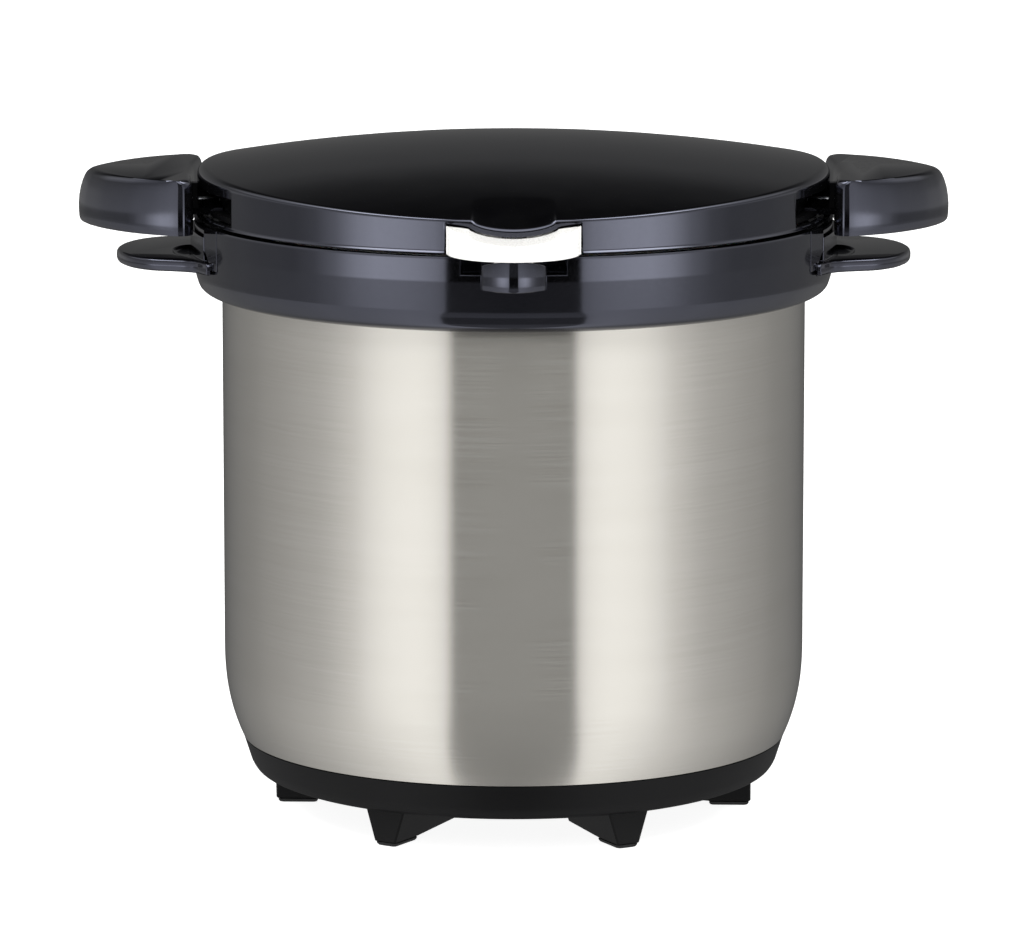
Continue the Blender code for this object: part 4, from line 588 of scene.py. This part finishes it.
# Collar: a gloss black ABS ring round the mouth, moulded in one piece and pressed
# over the shell's edge on a silicone gasket. Its front is notched for the catch.
COLLAR_CORNERS = ((125.3, 225.6, 0.2), (130.0, 225.6, 2.2), (134.5, 227.8, 2.2),
                  (136.3, 233.4, 1.6), (136.357, 235.4, 0), (136.7, 247.4, 0.7),
                  (136.7, 256.4, 0), (136.7, 257.6, 0.15), (119, 257.6, 0.8), (119, 253.8, 0.3),
                  (134, 253.8, 0.3), (134, 231, 2), (131, 228.3, 1.5), (125.3, 228.3, 0.2))
NOTCH_HALF = 21.7 * MM
NOTCH_FLOOR = 250.3 * MM
NOTCH_BACK = -129.7 * MM
OVERRUN = 6 * MM


def gloss_abs():
    """ABS from a polished mould: a deep gloss with the faint long waves that moulded
    plastic shows, and the cold tone of the black dye. A painted cool tint colours its
    reflections, in place of cooler light. The index is over that of plain ABS, because
    this shell mirrors the lights that strongly."""
    material, tree, shader = start_material("gloss_black_abs", "#060607", 0.07)
    shader.inputs["IOR"].default_value = 1.75
    waves = streaks(tree, (14 * MM,) * 3, 1)
    dust = streaks(tree, (1.4 * MM,) * 3)
    worn(tree, shader, dust, 0.055, 0.09)
    clouded(tree, shader, waves, "#050506", "#080809")
    # Painted cool cast: the specular tint turns every reflection blue, in place of cooler light.
    shader.inputs["Specular Tint"].default_value = linear("#E2E6FF")
    relief(tree, shader, waves, 0.01 * MM)
    return material


def block(low, high):
    """A box between two corners."""
    shape = bmesh.new()
    size = Vector(high) - Vector(low)
    bmesh.ops.create_cube(shape, size=1, matrix=Matrix.Translation(Vector(low) + size / 2)
                          @ Matrix.Diagonal((*size, 1)))
    return shape


def rod(radius, start, end, segments=64):
    """A round bar between two points."""
    along = Vector(end) - Vector(start)
    shape = bmesh.new()
    bmesh.ops.create_cone(shape, cap_ends=True, segments=segments, radius1=radius, radius2=radius,
                          depth=along.length,
                          matrix=Matrix.Translation(Vector(start) + along / 2)
                          @ along.to_track_quat("Z", "Y").to_matrix().to_4x4())
    return shape


def worked(piece, operation, *shapes):
    """Cut shapes from a piece, or join them on."""
    tools = []
    for shape in shapes:
        mesh = bpy.data.meshes.new("tool")
        shape.to_mesh(mesh)
        shape.free()
        tools.append(bpy.data.objects.new("tool", mesh))
        scene.collection.objects.link(tools[-1])
        step = piece.modifiers.new("work", "BOOLEAN")
        step.operation = operation
        step.object = tools[-1]
    settle(piece)
    for tool in tools:
        bpy.data.objects.remove(tool)
    return piece


def silicone_rubber():
    """Translucent grey silicone, matt, with a little light inside it."""
    material, tree, shader = start_material("silicone_rubber", "#B4B4B2", 0.55)
    clouded(tree, shader, streaks(tree, (4 * MM,) * 3), "#ACACAA", "#BDBDBB")
    shader.inputs["Subsurface Weight"].default_value = 0.15
    shader.inputs["Subsurface Scale"].default_value = 1.5 * MM
    return material


ABS = gloss_abs()
SILICONE = silicone_rubber()
collar = piece_of("collar_ring", turned(eased(COLLAR_CORNERS)), ABS)
worked(collar, "UNION", block((-NOTCH_HALF - 2 * MM, NOTCH_BACK, NOTCH_FLOOR - 4 * MM),
                              (NOTCH_HALF + 2 * MM, NOTCH_BACK + 2 * MM, BODY_TOP + 4.5 * MM)))
worked(collar, "DIFFERENCE", block((-NOTCH_HALF, -BODY_RADIUS - 5 * OVERRUN, NOTCH_FLOOR),
                                   (NOTCH_HALF, NOTCH_BACK, BODY_TOP + 3 * OVERRUN)))
softened(collar, 0.35 * MM)
fit(collar, "container", "gloss_black", "collar")
refinish(SILICONE, "collar_gasket")

# Grips: the two lower handles, thin gloss black ABS plates with a dished top, a
# root flange and two gussets on the collar, held by screws from inside.
GRIP_START = 136.7
GRIP_TOP = 243.4
GRIP_THICKNESS = 5.5
GRIP_REACH = 33.5
GRIP_HALF = 46
GRIP_OUTLINE = ((-0.3, 1.0), (-0.06, 0.93), (0.1, 0.86), (0.32, 0.81), (0.5, 0.765),
                (0.64, 0.69), (0.78, 0.57), (0.88, 0.43), (0.96, 0.25), (1.0, 0.0))
GRIP_LEVELS = ((0, 1.5), (0.06, 0.8), (0.16, 0.3), (0.32, 0.03), (0.5, 0), (0.7, 0.08),
               (0.84, 0.3), (0.93, 0.7), (0.98, 1.2), (1, 1.9))
GUSSET_IN = 134.6
ROOT_RADIUS = 138.4
ROOT_LOW = 239.3
ROOT_HIGH = 253.6
POST_FACE = ((130.8, 44.5, 257.5), (124.9, 56.0, 257.5), (124.9, 56.0, 240.2),
             (127.6, 51.0, 240.2), (130.8, 44.5, 248.6))
POST_DEPTH = (-2.5, -5.0, 0.0)
DISH_PLACE = (139.2, -10, 243.9)
DISH_SIZE = (6.7, 17.2, 3.2)
COLLAR_FACE = ((0, 200, 0), (136.3, 200, 0), (136.3, 270, 0), (0, 270, 0))


def flowing(points, steps=5):
    """A smooth closed line through points."""
    line = []
    count = len(points)
    for index in range(count):
        p0, p1, p2, p3 = (Vector(points[(index + shift) % count]) for shift in (-1, 0, 1, 2))
        for step in range(steps):
            t = step / steps
            line.append(0.5 * (2 * p1 + (p2 - p0) * t + (2 * p0 - 5 * p1 + 4 * p2 - p3) * t ** 2
                               + (3 * p1 - p0 - 3 * p2 + p3) * t ** 3))
    return line


def both_sides(half):
    """A plan outline from its +Y half, which starts and ends on the X axis or not."""
    return list(half) + [(x, -y) for x, y in reversed(half) if y > 0]


def facing(shape, side):
    """Turn a shape made for +X to the side where it belongs."""
    bmesh.ops.transform(shape, verts=shape.verts,
                        matrix=Matrix.Rotation(0 if side > 0 else math.pi, 4, "Z"))
    return shape


def arc_plate(inner, outer, half, bottom, top, steps=24):
    """A curved plate between two radii, within a half width of the X axis."""
    outline = []
    for radius, order in ((outer, 1), (inner, -1)):
        turns = math.asin(half / radius)
        for step in range(steps + 1)[::order]:
            angle = turns * (2 * step / steps - 1)
            outline.append((radius * math.cos(angle), radius * math.sin(angle)))
    return skin([[(x, y, height) for x, y in outline] for height in (bottom, top)])


def ellipsoid(place, size):
    """A stretched ball, to cut a dish with."""
    shape = bmesh.new()
    bmesh.ops.create_uvsphere(shape, u_segments=64, v_segments=48, radius=1,
                              matrix=Matrix.Translation(Vector(place) * MM)
                              @ Matrix.Diagonal((*(Vector(size) * MM), 1)))
    return shape


def real(shape):
    """A shape that is drawn in millimetres, at its real size."""
    bmesh.ops.scale(shape, vec=(MM, MM, MM), verts=shape.verts)
    return shape


for name, side in (("right", 1), ("left", -1)):
    rings = []
    for up, inset in GRIP_LEVELS:
        height = GRIP_TOP - GRIP_THICKNESS * (1 - up)
        half = [(GRIP_START + (GRIP_REACH - inset) * out, (GRIP_HALF - inset) * across)
                for out, across in GRIP_OUTLINE]
        rings.append([(x, y, height) for x, y in flowing(both_sides(half))])
    grip = piece_of(f"grip_{name}_plate", facing(real(skin(rings)), side), ABS)
    place = (DISH_PLACE[0] * side, *DISH_PLACE[1:])
    worked(grip, "DIFFERENCE", ellipsoid(place, DISH_SIZE))
    root = arc_plate(GUSSET_IN, ROOT_RADIUS, 45, ROOT_LOW, ROOT_HIGH)
    posts = []
    for end in (-1, 1):
        face = [(x, end * y, z) for x, y, z in POST_FACE]
        back = [(x + POST_DEPTH[0], y + end * POST_DEPTH[1], z) for x, y, z in face]
        posts.append(skin([face, back]))
    worked(grip, "UNION", *[facing(real(shape), side) for shape in (root, *posts)])
    worked(grip, "DIFFERENCE", turned(eased(COLLAR_FACE)))
    softened(grip, 0.45 * MM)
    fit(grip, "container", "gloss_black", f"grip_{name}")

# Latch catch: the gloss black tab on the collar, under the lever, that a finger
# pulls against. Moulded with a convex front and held by two screws.
CATCH_HALF = 13.4
CATCH_LEVELS = ((245.4, 0.9), (245.5, 0.5), (245.8, 0.15), (246.4, -0.05), (248.0, -0.1),
                (251.0, -0.1), (257.9, -0.12), (258.5, 0.05), (258.7, 0.5))
CATCH_CORNER = 1.3
CATCH_FRONT_Y = -155.1
CATCH_BOW = 8.0
CATCH_BOW_POWER = 1.8
CATCH_BACK_Y = -132.5
CATCH_TOP_FALL = 0.34
CATCH_FALL_FROM = 250.5

rings = []
for height, inset in CATCH_LEVELS:
    half = CATCH_HALF - inset
    outline = []
    for step in range(49):
        share = math.sin(math.pi * (step / 48 - 0.5))
        corner = CATCH_CORNER * max(0, (abs(share) - 0.93) / 0.07) ** 2
        outline.append((half * share, CATCH_FRONT_Y + inset + corner
                        + CATCH_BOW * abs(share) ** CATCH_BOW_POWER))
    outline += [(half, CATCH_BACK_Y), (-half, CATCH_BACK_Y)]
    fall = CATCH_TOP_FALL * max(0, (height - CATCH_FALL_FROM)
                                / (CATCH_LEVELS[-1][0] - CATCH_FALL_FROM))
    rings.append([(x, y, height - fall * (y - CATCH_FRONT_Y)) for x, y in outline])
catch = piece_of("latch_catch_tab", real(skin(rings)), ABS)
worked(catch, "DIFFERENCE", turned(eased(COLLAR_FACE)))
softened(catch, 0.25 * MM, angle=50)
fit(catch, "container", "gloss_black", "latch_catch")

# Hinge bracket: gloss black ABS at the back, two cheeks whose open slots take the
# ends of a polished steel pin, screwed to the collar from inside.
HINGE_Y = 148.7
HINGE_Z = 261.0
BRACKET_HALF = 30
BRACKET_BACK = 161.7
BRACKET_SHELF = 254.6
KNUCKLE_GAP = 15.8
SLOT_RADIUS = 2.8
CHEEK_FRONT = 8.5
HINGE_PIN = 2.5
BRACKET_CORNERS = [(130, 235.6, 0), (148.7, 235.6, 5), (159.75, 241.7, 3), (161.7, 247.8, 0)]

cheek_radius = BRACKET_BACK - HINGE_Y
sweep = math.acos(-CHEEK_FRONT / cheek_radius)
outline = eased(BRACKET_CORNERS, unit=1)
outline += [Vector((HINGE_Y + cheek_radius * math.cos(sweep * step / 32),
                    BRACKET_SHELF + cheek_radius * math.sin(sweep * step / 32)))
            for step in range(33)]
outline += [Vector((HINGE_Y - CHEEK_FRONT, BRACKET_SHELF)), Vector((130, BRACKET_SHELF))]
bracket = piece_of("hinge_bracket_body", real(
    skin([[(x, y, z) for y, z in outline] for x in (-BRACKET_HALF, BRACKET_HALF)])), ABS)
gap = block((-KNUCKLE_GAP, 120, BRACKET_SHELF), (KNUCKLE_GAP, 170, 280))
slot = block((-40, HINGE_Y - SLOT_RADIUS, HINGE_Z), (40, HINGE_Y + SLOT_RADIUS, 280))
seat = rod(SLOT_RADIUS, (-40, HINGE_Y, HINGE_Z), (40, HINGE_Y, HINGE_Z))
worked(bracket, "DIFFERENCE", *[real(shape) for shape in (gap, slot, seat)],
       turned(eased(COLLAR_FACE)))
softened(bracket, 0.5 * MM)
fit(bracket, "container", "gloss_black", "hinge_bracket")
pin = piece_of("hinge_pin_bar", real(
    rod(HINGE_PIN, (-29.5, HINGE_Y, HINGE_Z), (29.5, HINGE_Y, HINGE_Z))), POLISHED)
softened(pin, 0.3 * MM)
fit(pin, "hinge_pin", "polished_steel", "hinge_pin")

# Lid cover: a gloss black ABS dome that falls more to the front and back than to
# the sides, with a rounded rim, a thumb scoop and a skirt with a bead below.
LID_RADIUS = 135.4
LID_TOP = 291.1
SIDE_FALL = 11.7
FRONT_FALL = 18.2
RIM_ROUND = 1.1
SIDE_RIM_ROUND = 2.6
SIDE_RIM_POWER = 6
SKIRT_BOTTOM = 258.9
SKIRT_WALL = 2.4
BEAD = ((0, 1.4), (0, 0.96), (0.02, 0.9), (0.46, 0.3), (0.5, 0.2), (0.5, 0.12),
        (0.47, 0.06), (0.41, 0.015), (0.33, 0))
SCOOP_HALF = 17.2
SCOOP_DIP = 3.9
SCOOP_LENGTH = 26
LEVER_BOTTOM = 259.0
LEVER_MIDDLE = 6.5
LEVER_END = 12.0
LIP_HALF = 18.5
LIP_HIGH = 270.0
LIP_DIP = 4.2
LIP_SLOPE = 0.12
LEVER_HALF = 27.35
LEVER_GAP = 0.7
WINDOW_HALF = 66
WINDOW_LOW = 260.5
WINDOW_HIGH = 272.2
WINDOW_IN = 110
KNUCKLE_TOP = 266.8


def lid_height(x, y):
    """Top of the lid, with the thumb scoop at the middle of its front."""
    base = LID_TOP - SIDE_FALL * (x / LID_RADIUS) ** 2 - FRONT_FALL * (y / LID_RADIUS) ** 2
    inward = (y + math.sqrt(max(LID_RADIUS ** 2 - x * x, 0))) / SCOOP_LENGTH
    if abs(x) >= SCOOP_HALF or not -0.01 <= inward < 1:
        return base
    across = (1 - (x / SCOOP_HALF) ** 2) ** 0.6
    return base - SCOOP_DIP * across * (1 - max(inward, 0)) ** 2


def lid_ring(radius, round_drop=0.0, below=0.0):
    """A ring of the lid's top, or under it; round_drop is the turn over its rim."""
    ring = []
    for turn in LID_TURNS:
        side = abs(math.cos(turn)) ** SIDE_RIM_POWER
        rim = RIM_ROUND + SIDE_RIM_ROUND * side
        if round_drop is None:
            reach = radius * (1 - rim / LID_RADIUS)
        else:
            reach = radius - rim * (1 - math.sin(round_drop))
        x, y = reach * math.cos(turn), reach * math.sin(turn)
        fall = below if round_drop is None else rim * (1 - math.cos(round_drop)) + below
        ring.append((x, y, lid_height(x, y) - fall))
    return ring


def level_ring(radius, height):
    """A level ring."""
    return [(radius * math.cos(turn), radius * math.sin(turn), height) for turn in LID_TURNS]


def lever_top(x):
    """Height of the front edge of the lever's dished top."""
    return LEVER_BOTTOM + LEVER_MIDDLE + (LEVER_END - LEVER_MIDDLE) * (x / LEVER_HALF) ** 2


def lip_bottom(x):
    """Height of the skirt's lower edge over the lever: it follows the scoop."""
    if abs(x) > LIP_HALF:
        return LIP_HIGH + LIP_SLOPE * (abs(x) - LIP_HALF)
    return LIP_HIGH - LIP_DIP * (1 - (x / LIP_HALF) ** 2) ** 0.7


# The points stand closer over the scoop, whose edge is drawn sharp.
LID_TURNS = [math.radians(angle / 4 - 90) for angle in range(-55, 55)]
LID_TURNS += [math.radians(angle * 1.25 - 90 + 13.75) for angle in range(266)]
rings = [lid_ring(LID_RADIUS * share, None) for share in
         (0, 0.05, 0.1, 0.2, 0.3, 0.4, 0.5, 0.6, 0.7, 0.76, 0.81, 0.84, 0.865, 0.89, 0.91, 0.93,
          0.948, 0.962, 0.975, 0.986, 0.994, 1.0)]
rings += [lid_ring(LID_RADIUS, math.pi / 2 * step / 8) for step in range(1, 9)]
rings.append(lid_ring(LID_RADIUS, math.pi / 2, 0.4))
rings += [level_ring(LID_RADIUS + out, SKIRT_BOTTOM + up) for out, up in BEAD]
rings += [level_ring(LID_RADIUS - SKIRT_WALL, SKIRT_BOTTOM),
          lid_ring(LID_RADIUS - SKIRT_WALL, None, 4.6)]
rings += [lid_ring(LID_RADIUS * share, None, 2.6) for share in (0.92, 0.8, 0.6, 0.4, 0.2, 0)]
dome = skin(rings)
bmesh.ops.remove_doubles(dome, verts=dome.verts, dist=0.001)
lid = piece_of("lid_cover_dome", real(dome), ABS)
half = LEVER_HALF + LEVER_GAP
notch = [(-half, SKIRT_BOTTOM - 4)] + [
    (half * (step / 32 - 1), lip_bottom(half * (step / 32 - 1))) for step in range(65)]
notch.append((half, SKIRT_BOTTOM - 4))
cuts = [skin([[(x, y, z) for x, z in notch] for y in (-LID_RADIUS - 6, -LID_RADIUS + 24)]),
        block((-KNUCKLE_GAP, LID_RADIUS - 8, SKIRT_BOTTOM - 4),
              (KNUCKLE_GAP, LID_RADIUS + 4, KNUCKLE_TOP))]
for side in (-1, 1):
    cuts.append(facing(block((WINDOW_IN, -WINDOW_HALF, WINDOW_LOW),
                             (LID_RADIUS + 4, WINDOW_HALF, WINDOW_HIGH)), side))
worked(lid, "DIFFERENCE", *[real(shape) for shape in cuts])
softened(lid, 0.35 * MM, angle=40)
fit(lid, "lid", "gloss_black", "lid_cover")

# Inside the lid: a satin frame ring that carries everything, a polished steel
# plug full of rigid foam, and the silicone seal under its edge.
LINER_CORNERS = ((0, 241.6, 0), (106, 241.6, 3), (113, 247.6, 3), (113, 259.9, 0.8),
                 (121, 259.9, 0.3), (121, 260.7, 0.3), (112.2, 260.7, 0.8), (112.2, 248, 3),
                 (105.6, 242.4, 3), (0, 242.4, 0))
SEAL_CORNERS = ((113.5, 254.1, 0.4), (115.5, 254.1, 0.9), (115.5, 258.5, 0.6),
                (123.5, 258.5, 0.3), (123.5, 259.6, 0.3), (113.5, 259.6, 0.2))


def rigid_foam():
    """Cut polyurethane foam: cream, with fine open cells."""
    material, tree, shader = start_material("rigid_foam", "#E4DFCC", 0.95)
    cells = streaks(tree, (0.8 * MM,) * 3)
    clouded(tree, shader, cells, "#D6CFB8", "#ECE8D8")
    relief(tree, shader, cells, 0.2 * MM)
    return material


turned_part("lid_liner_plug", LINER_CORNERS, POLISHED, "lid", "polished_steel", "lid_liner")
turned_part("lid_seal_ring", SEAL_CORNERS, SILICONE, "lid", "silicone", "lid_seal")
refinish(POLYPROPYLENE, "lid_frame")
refinish(rigid_foam(), "lid_insulation")

# Lid handles: the two upper ears, thick gloss black ABS blocks, moulded hollow on
# a neck that passes through the skirt's window and is screwed to the frame.
EAR_START = 138.2
EAR_REACH = 48.1
EAR_HALF = 48
EAR_BOTTOM = 254.4
EAR_TOP = 277.8
EAR_OUTLINE = ((-0.015, 0.25), (-0.03, 0.5), (-0.048, 0.7), (-0.06, 0.84), (-0.0586, 0.907),
               (-0.0453, 0.9438), (-0.0202, 0.9737), (0.0136, 0.9932), (0.052, 1.0),
               (0.0753, 0.9975), (0.13, 0.983), (0.2, 0.957), (0.28, 0.92), (0.38, 0.862),
               (0.495, 0.781), (0.599, 0.687), (0.703, 0.575), (0.796, 0.458), (0.879, 0.323),
               (0.952, 0.177), (1.0, 0.0))
EAR_LEVELS = ((0, 2.4), (0.02, 1.4), (0.05, 0.7), (0.1, 0.25), (0.2, 0.05), (0.34, 0), (0.5, 0.3),
              (0.65, 0.95), (0.78, 1.9), (0.87, 2.8), (0.93, 3.7), (0.965, 4.6), (0.99, 5.6),
              (1, 7.0))
EAR_SIDE_INSET = 0.16
EAR_ROLL = 2.4
EAR_ROLL_FROM = 0.84
NECK_HALF = 30
NECK_RADII = (126.9, 142)
NECK_BOTTOM = 261.3
NECK_TOP = 271.7
NECK_FALL = 0.25

for name, side in (("right", 1), ("left", -1)):
    rings = []
    for up, inset in EAR_LEVELS:
        turned_in = max(0, (up - EAR_ROLL_FROM) / (1 - EAR_ROLL_FROM))
        roll = EAR_ROLL * (1 - math.sqrt(1 - turned_in ** 2))
        half = [(EAR_START + (EAR_REACH - inset) * out + roll * max(0, 1 - max(out, 0) * 5),
                 (EAR_HALF - inset * EAR_SIDE_INSET) * across) for out, across in EAR_OUTLINE]
        height = EAR_BOTTOM + (EAR_TOP - EAR_BOTTOM) * up
        rings.append([(x, y, height) for x, y in flowing(both_sides(half))])
    ear = piece_of(f"lid_handle_{name}_ear", facing(real(skin(rings)), side), ABS)
    rings = []
    for step in range(25):
        y = NECK_HALF * (step / 12 - 1)
        near, far = (math.sqrt(radius * radius - y * y) for radius in NECK_RADII)
        top = NECK_TOP - NECK_FALL * abs(y)
        rings.append([(x, y, z) for x, z in ((near, NECK_BOTTOM), (far, NECK_BOTTOM), (far, top),
                                             (near, top))])
    worked(ear, "UNION", facing(real(skin(rings)), side))
    fit(ear, "lid", "gloss_black", f"lid_handle_{name}")

# Side screws: zinc-plated, driven outwards from inside the collar and the frame.
# Each row is the body, the head's seat radius, the height, the length, the middle
# of the pair, its half spread in degrees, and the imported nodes.
SIDE_SCREWS = (("container", 133.2, 239.15, 17, 0, 9, "grip_right_screw"),
               ("container", 133.2, 239.15, 17, 180, 9, "grip_left_screw"),
               ("container", 133.2, 248.5, 14, -90, 3.2, "catch_screw"),
               ("container", 133.2, 247.2, 14, 90, 9.5, "bracket_screw"),
               ("lid", 123.4, 266.1, 12.5, 0, 8, "lid_handle_right_screw"),
               ("lid", 123.4, 266.1, 12.5, 180, 8, "lid_handle_left_screw"))
for body, radius, height, length, middle, spread_by, nodes in SIDE_SCREWS:
    screw = pan_head_screw(length * MM)
    bmesh.ops.transform(screw, verts=screw.verts,
                        matrix=Matrix.Translation((radius * MM, 0, height * MM))
                        @ Matrix.Rotation(math.pi / 2, 4, "Y"))
    pair = ring_of(nodes + "_pair", screw, 2, math.radians(middle - spread_by),
                   math.radians(2 * spread_by), ZINC)
    fit(pair, body, "zinc_steel", nodes + "_1", nodes + "_2")

# Latch lever: white POM, moulded with a dished top and a convex front; it turns
# on a steel pin against a small coil spring.
LEVER_BACK = -134.35
LEVER_FRONT = -161.7
LEVER_EDGE = 1.0
LEVER_STATIONS = 72
LEVER_WALL = 2.7
POCKET_TOP = 262.6
PIN_Y = -129.6
PIN_Z = 264.6
TONGUE_HALF = 20.6
TONGUE_THICKNESS = 3
HOOK_LOW = (-8, -136.1, 252.6)
HOOK_HIGH = (8, -133.3, 262.4)
PIN_BORE = 1.8
BAY_LOW = (-5.2, -132.6, 259.9)
BAY_HIGH = (5.2, -125.6, 268.6)


def white_pom():
    """Smooth white POM: a soft sheen, a faint warm tone and very fine mould grain."""
    material, tree, shader = start_material("white_pom", "#F4F3EF", 0.28)
    grain = streaks(tree, (0.6 * MM,) * 3)
    clouded(tree, shader, streaks(tree, (9 * MM,) * 3), "#F1F0EC", "#F7F6F3")
    worn(tree, shader, grain, 0.24, 0.34)
    relief(tree, shader, grain, 0.004 * MM)
    return material


POM = white_pom()
rings = []
for step in range(LEVER_STATIONS + 1):
    x = -LEVER_HALF * math.cos(math.pi * step / LEVER_STATIONS)
    share = math.sqrt(max(1 - (x / LEVER_HALF) ** 2, 0))
    front = LEVER_BACK - max((LEVER_BACK - LEVER_FRONT) * share, 3 * LEVER_EDGE)
    top = lever_top(x)
    section = eased(((LEVER_BACK, LEVER_BOTTOM, 0), (front, LEVER_BOTTOM, LEVER_EDGE),
                     (front, top, 1.4 * LEVER_EDGE), (LEVER_BACK, lip_bottom(x) - LEVER_GAP, 0)),
                    unit=1, steps=6)
    rings.append([(x, y, z) for y, z in section])
lever = piece_of("latch_lever_thumb", real(skin(rings)), POM)
inner = LEVER_HALF - LEVER_WALL
turns = [math.pi * step / 48 for step in range(49)]
pocket = [(inner * math.cos(turn), LEVER_BACK - inner * math.sin(turn)) for turn in turns]
worked(lever, "DIFFERENCE", real(
    skin([[(x, y, height) for x, y in pocket] for height in (LEVER_BOTTOM - 3, POCKET_TOP)])))
tongue = block((-TONGUE_HALF, LEVER_BACK - 0.9, PIN_Z - TONGUE_THICKNESS),
               (TONGUE_HALF, PIN_Y, PIN_Z))
barrel = rod(TONGUE_THICKNESS, (-TONGUE_HALF, PIN_Y, PIN_Z), (TONGUE_HALF, PIN_Y, PIN_Z))
hook = block(HOOK_LOW, HOOK_HIGH)
worked(lever, "UNION", *[real(shape) for shape in (tongue, barrel, hook)])
pin_bore = rod(PIN_BORE, (-30, PIN_Y, PIN_Z), (30, PIN_Y, PIN_Z), 32)
bay = block(BAY_LOW, BAY_HIGH)
worked(lever, "DIFFERENCE", *[real(shape) for shape in (pin_bore, bay)])
softened(lever, 0.3 * MM, angle=50)
fit(lever, "latch", "white_plastic", "latch_lever")
refinish(POLISHED, "latch_pin")
refinish(ZINC, "latch_spring")

# Inner pot: polished steel with a rolled rim, a clad base disc and two riveted
# ears for the bail.
POT_CORNERS = ((0, 38.3, 0), (108.5, 38.3, 10), (108.5, 187, 0.6), (111.5, 187, 0.3),
               (111.5, 187.9, 0.3), (107.6, 187.9, 0.9), (107.6, 39.2, 9.6), (0, 39.2, 0))
DISC_CORNERS = ((0, 35, 0), (92, 35, 0.8), (92, 38, 0.4), (0, 38, 0))
BAIL_HEIGHT = 179.9
EYE_HALF = 11
BOSS_RADIUS = 4.2
EYE_RADIUS = 2.3
turned_part("pot_body", POT_CORNERS, POLISHED, "pot", "polished_steel", "pot", 8)
turned_part("pot_base_clad", DISC_CORNERS, ZINC, "pot", "zinc_steel", "pot_base_disc")
for name, side in (("right", 1), ("left", -1)):
    plate = arc_plate(108.8, 110.6, EYE_HALF, 171.9, 185.4, 12)
    boss = rod(BOSS_RADIUS, (109.5, 0, BAIL_HEIGHT), (111.9, 0, BAIL_HEIGHT), 48)
    eye = rod(EYE_RADIUS, (109.6, 0, BAIL_HEIGHT), (114.2, 0, BAIL_HEIGHT), 48)
    ear = piece_of(f"bail_ear_{name}_plate", facing(real(plate), side), POLISHED)
    worked(ear, "UNION", facing(real(boss), side))
    worked(ear, "DIFFERENCE", facing(real(eye), side))
    softened(ear, 0.25 * MM, 2)
    fit(ear, "pot", "polished_steel", f"bail_ear_{name}")

# Bail: a bent steel rod that swings in the ears, with a satin black sleeve.
BAIL_RADIUS = 114.2
BAIL_ROD = 2
SLEEVE_RADIUS = 3.05
SLEEVE_TURN = math.radians(18)


def bent_rod(radius, start, end, steps, sides=24):
    """A round rod along an arc at the bail's height, from angle to angle."""
    rings = []
    for step in range(steps + 1):
        angle = start + (end - start) * step / steps
        rings.append([((BAIL_RADIUS + radius * math.cos(turn)) * math.cos(angle),
                       (BAIL_RADIUS + radius * math.cos(turn)) * math.sin(angle),
                       BAIL_HEIGHT + radius * math.sin(turn))
                      for turn in [2 * math.pi * side / sides for side in range(sides)]])
    return skin(rings)


bail = piece_of("bail_rod", real(bent_rod(BAIL_ROD, 0, -math.pi, 96)), POLISHED)
pins = [rod(BAIL_ROD, (side * 109.9, 0, BAIL_HEIGHT), (side * 115.2, 0, BAIL_HEIGHT), 24)
        for side in (-1, 1)]
worked(bail, "UNION", *[real(shape) for shape in pins])
fit(bail, "bail", "polished_steel", "bail")
sleeve = piece_of("bail_grip_sleeve", real(bent_rod(
    SLEEVE_RADIUS, -math.pi / 2 - SLEEVE_TURN, -math.pi / 2 + SLEEVE_TURN, 36)), POLYPROPYLENE)
softened(sleeve, 0.4 * MM)
fit(sleeve, "bail", "satin_black", "bail_grip")

# Pot lid: domed tempered glass in a rolled steel band, with a satin black knob
# held by a zinc-plated screw from below.
BAND_CORNERS = ((106.9, 188.2, 0.2), (110.4, 188.2, 0.6), (110.4, 193.9, 0.9),
                (108.3, 193.9, 0.2), (108.3, 193.1, 0.1), (109.6, 193.1, 0.5),
                (109.6, 189, 0.3), (106.9, 189, 0.2))
GLASS_EDGE = 109.3
GLASS_BOTTOM = 189.3
GLASS_RISE = 12.6
GLASS_THICKNESS = 3.4
KNOB_CORNERS = ((0, 220.5, 0), (1.8, 220.5, 0), (1.8, 205.6, 0), (16, 205.6, 0.6),
                (12.1, 210.6, 3), (10.9, 218.4, 5), (18.5, 224.6, 3), (19.5, 229.6, 2),
                (16, 233.5, 3), (0, 233.5, 0))


def tempered_glass():
    """Clear soda-lime glass, a little green in its depth."""
    material, tree, shader = start_material("tempered_glass", "#E9F2EE", 0.02)
    worn(tree, shader, streaks(tree, (18 * MM,) * 3), 0.01, 0.04)
    shader.inputs["IOR"].default_value = 1.52
    shader.inputs["Transmission Weight"].default_value = 1.0
    return material


turned_part("pot_lid_rim", BAND_CORNERS, POLISHED, "pot_lid", "polished_steel", "pot_lid_band")
shares = [0.032, 0.2, 0.4, 0.6, 0.75, 0.88, 0.96]
under = [(GLASS_EDGE * share, GLASS_BOTTOM + GLASS_RISE * (1 - share ** 2)) for share in shares]
over = [(radius, height + GLASS_THICKNESS) for radius, height in under]
profile = under + [(GLASS_EDGE, GLASS_BOTTOM), (GLASS_EDGE, GLASS_BOTTOM + 2.8)] + over[::-1]
glass = piece_of("pot_lid_dome", turned([Vector(point) * MM for point in profile]),
                 tempered_glass())
softened(glass, 0.4 * MM)
fit(glass, "pot_lid", "lid_glass", "pot_lid_glass")
knob = piece_of("pot_lid_knob_turned", turned(eased(KNOB_CORNERS, steps=8), 96),
                POLYPROPYLENE)
fit(knob, "pot_lid", "satin_black", "pot_lid_knob")
refinish(ZINC, "knob_screw")
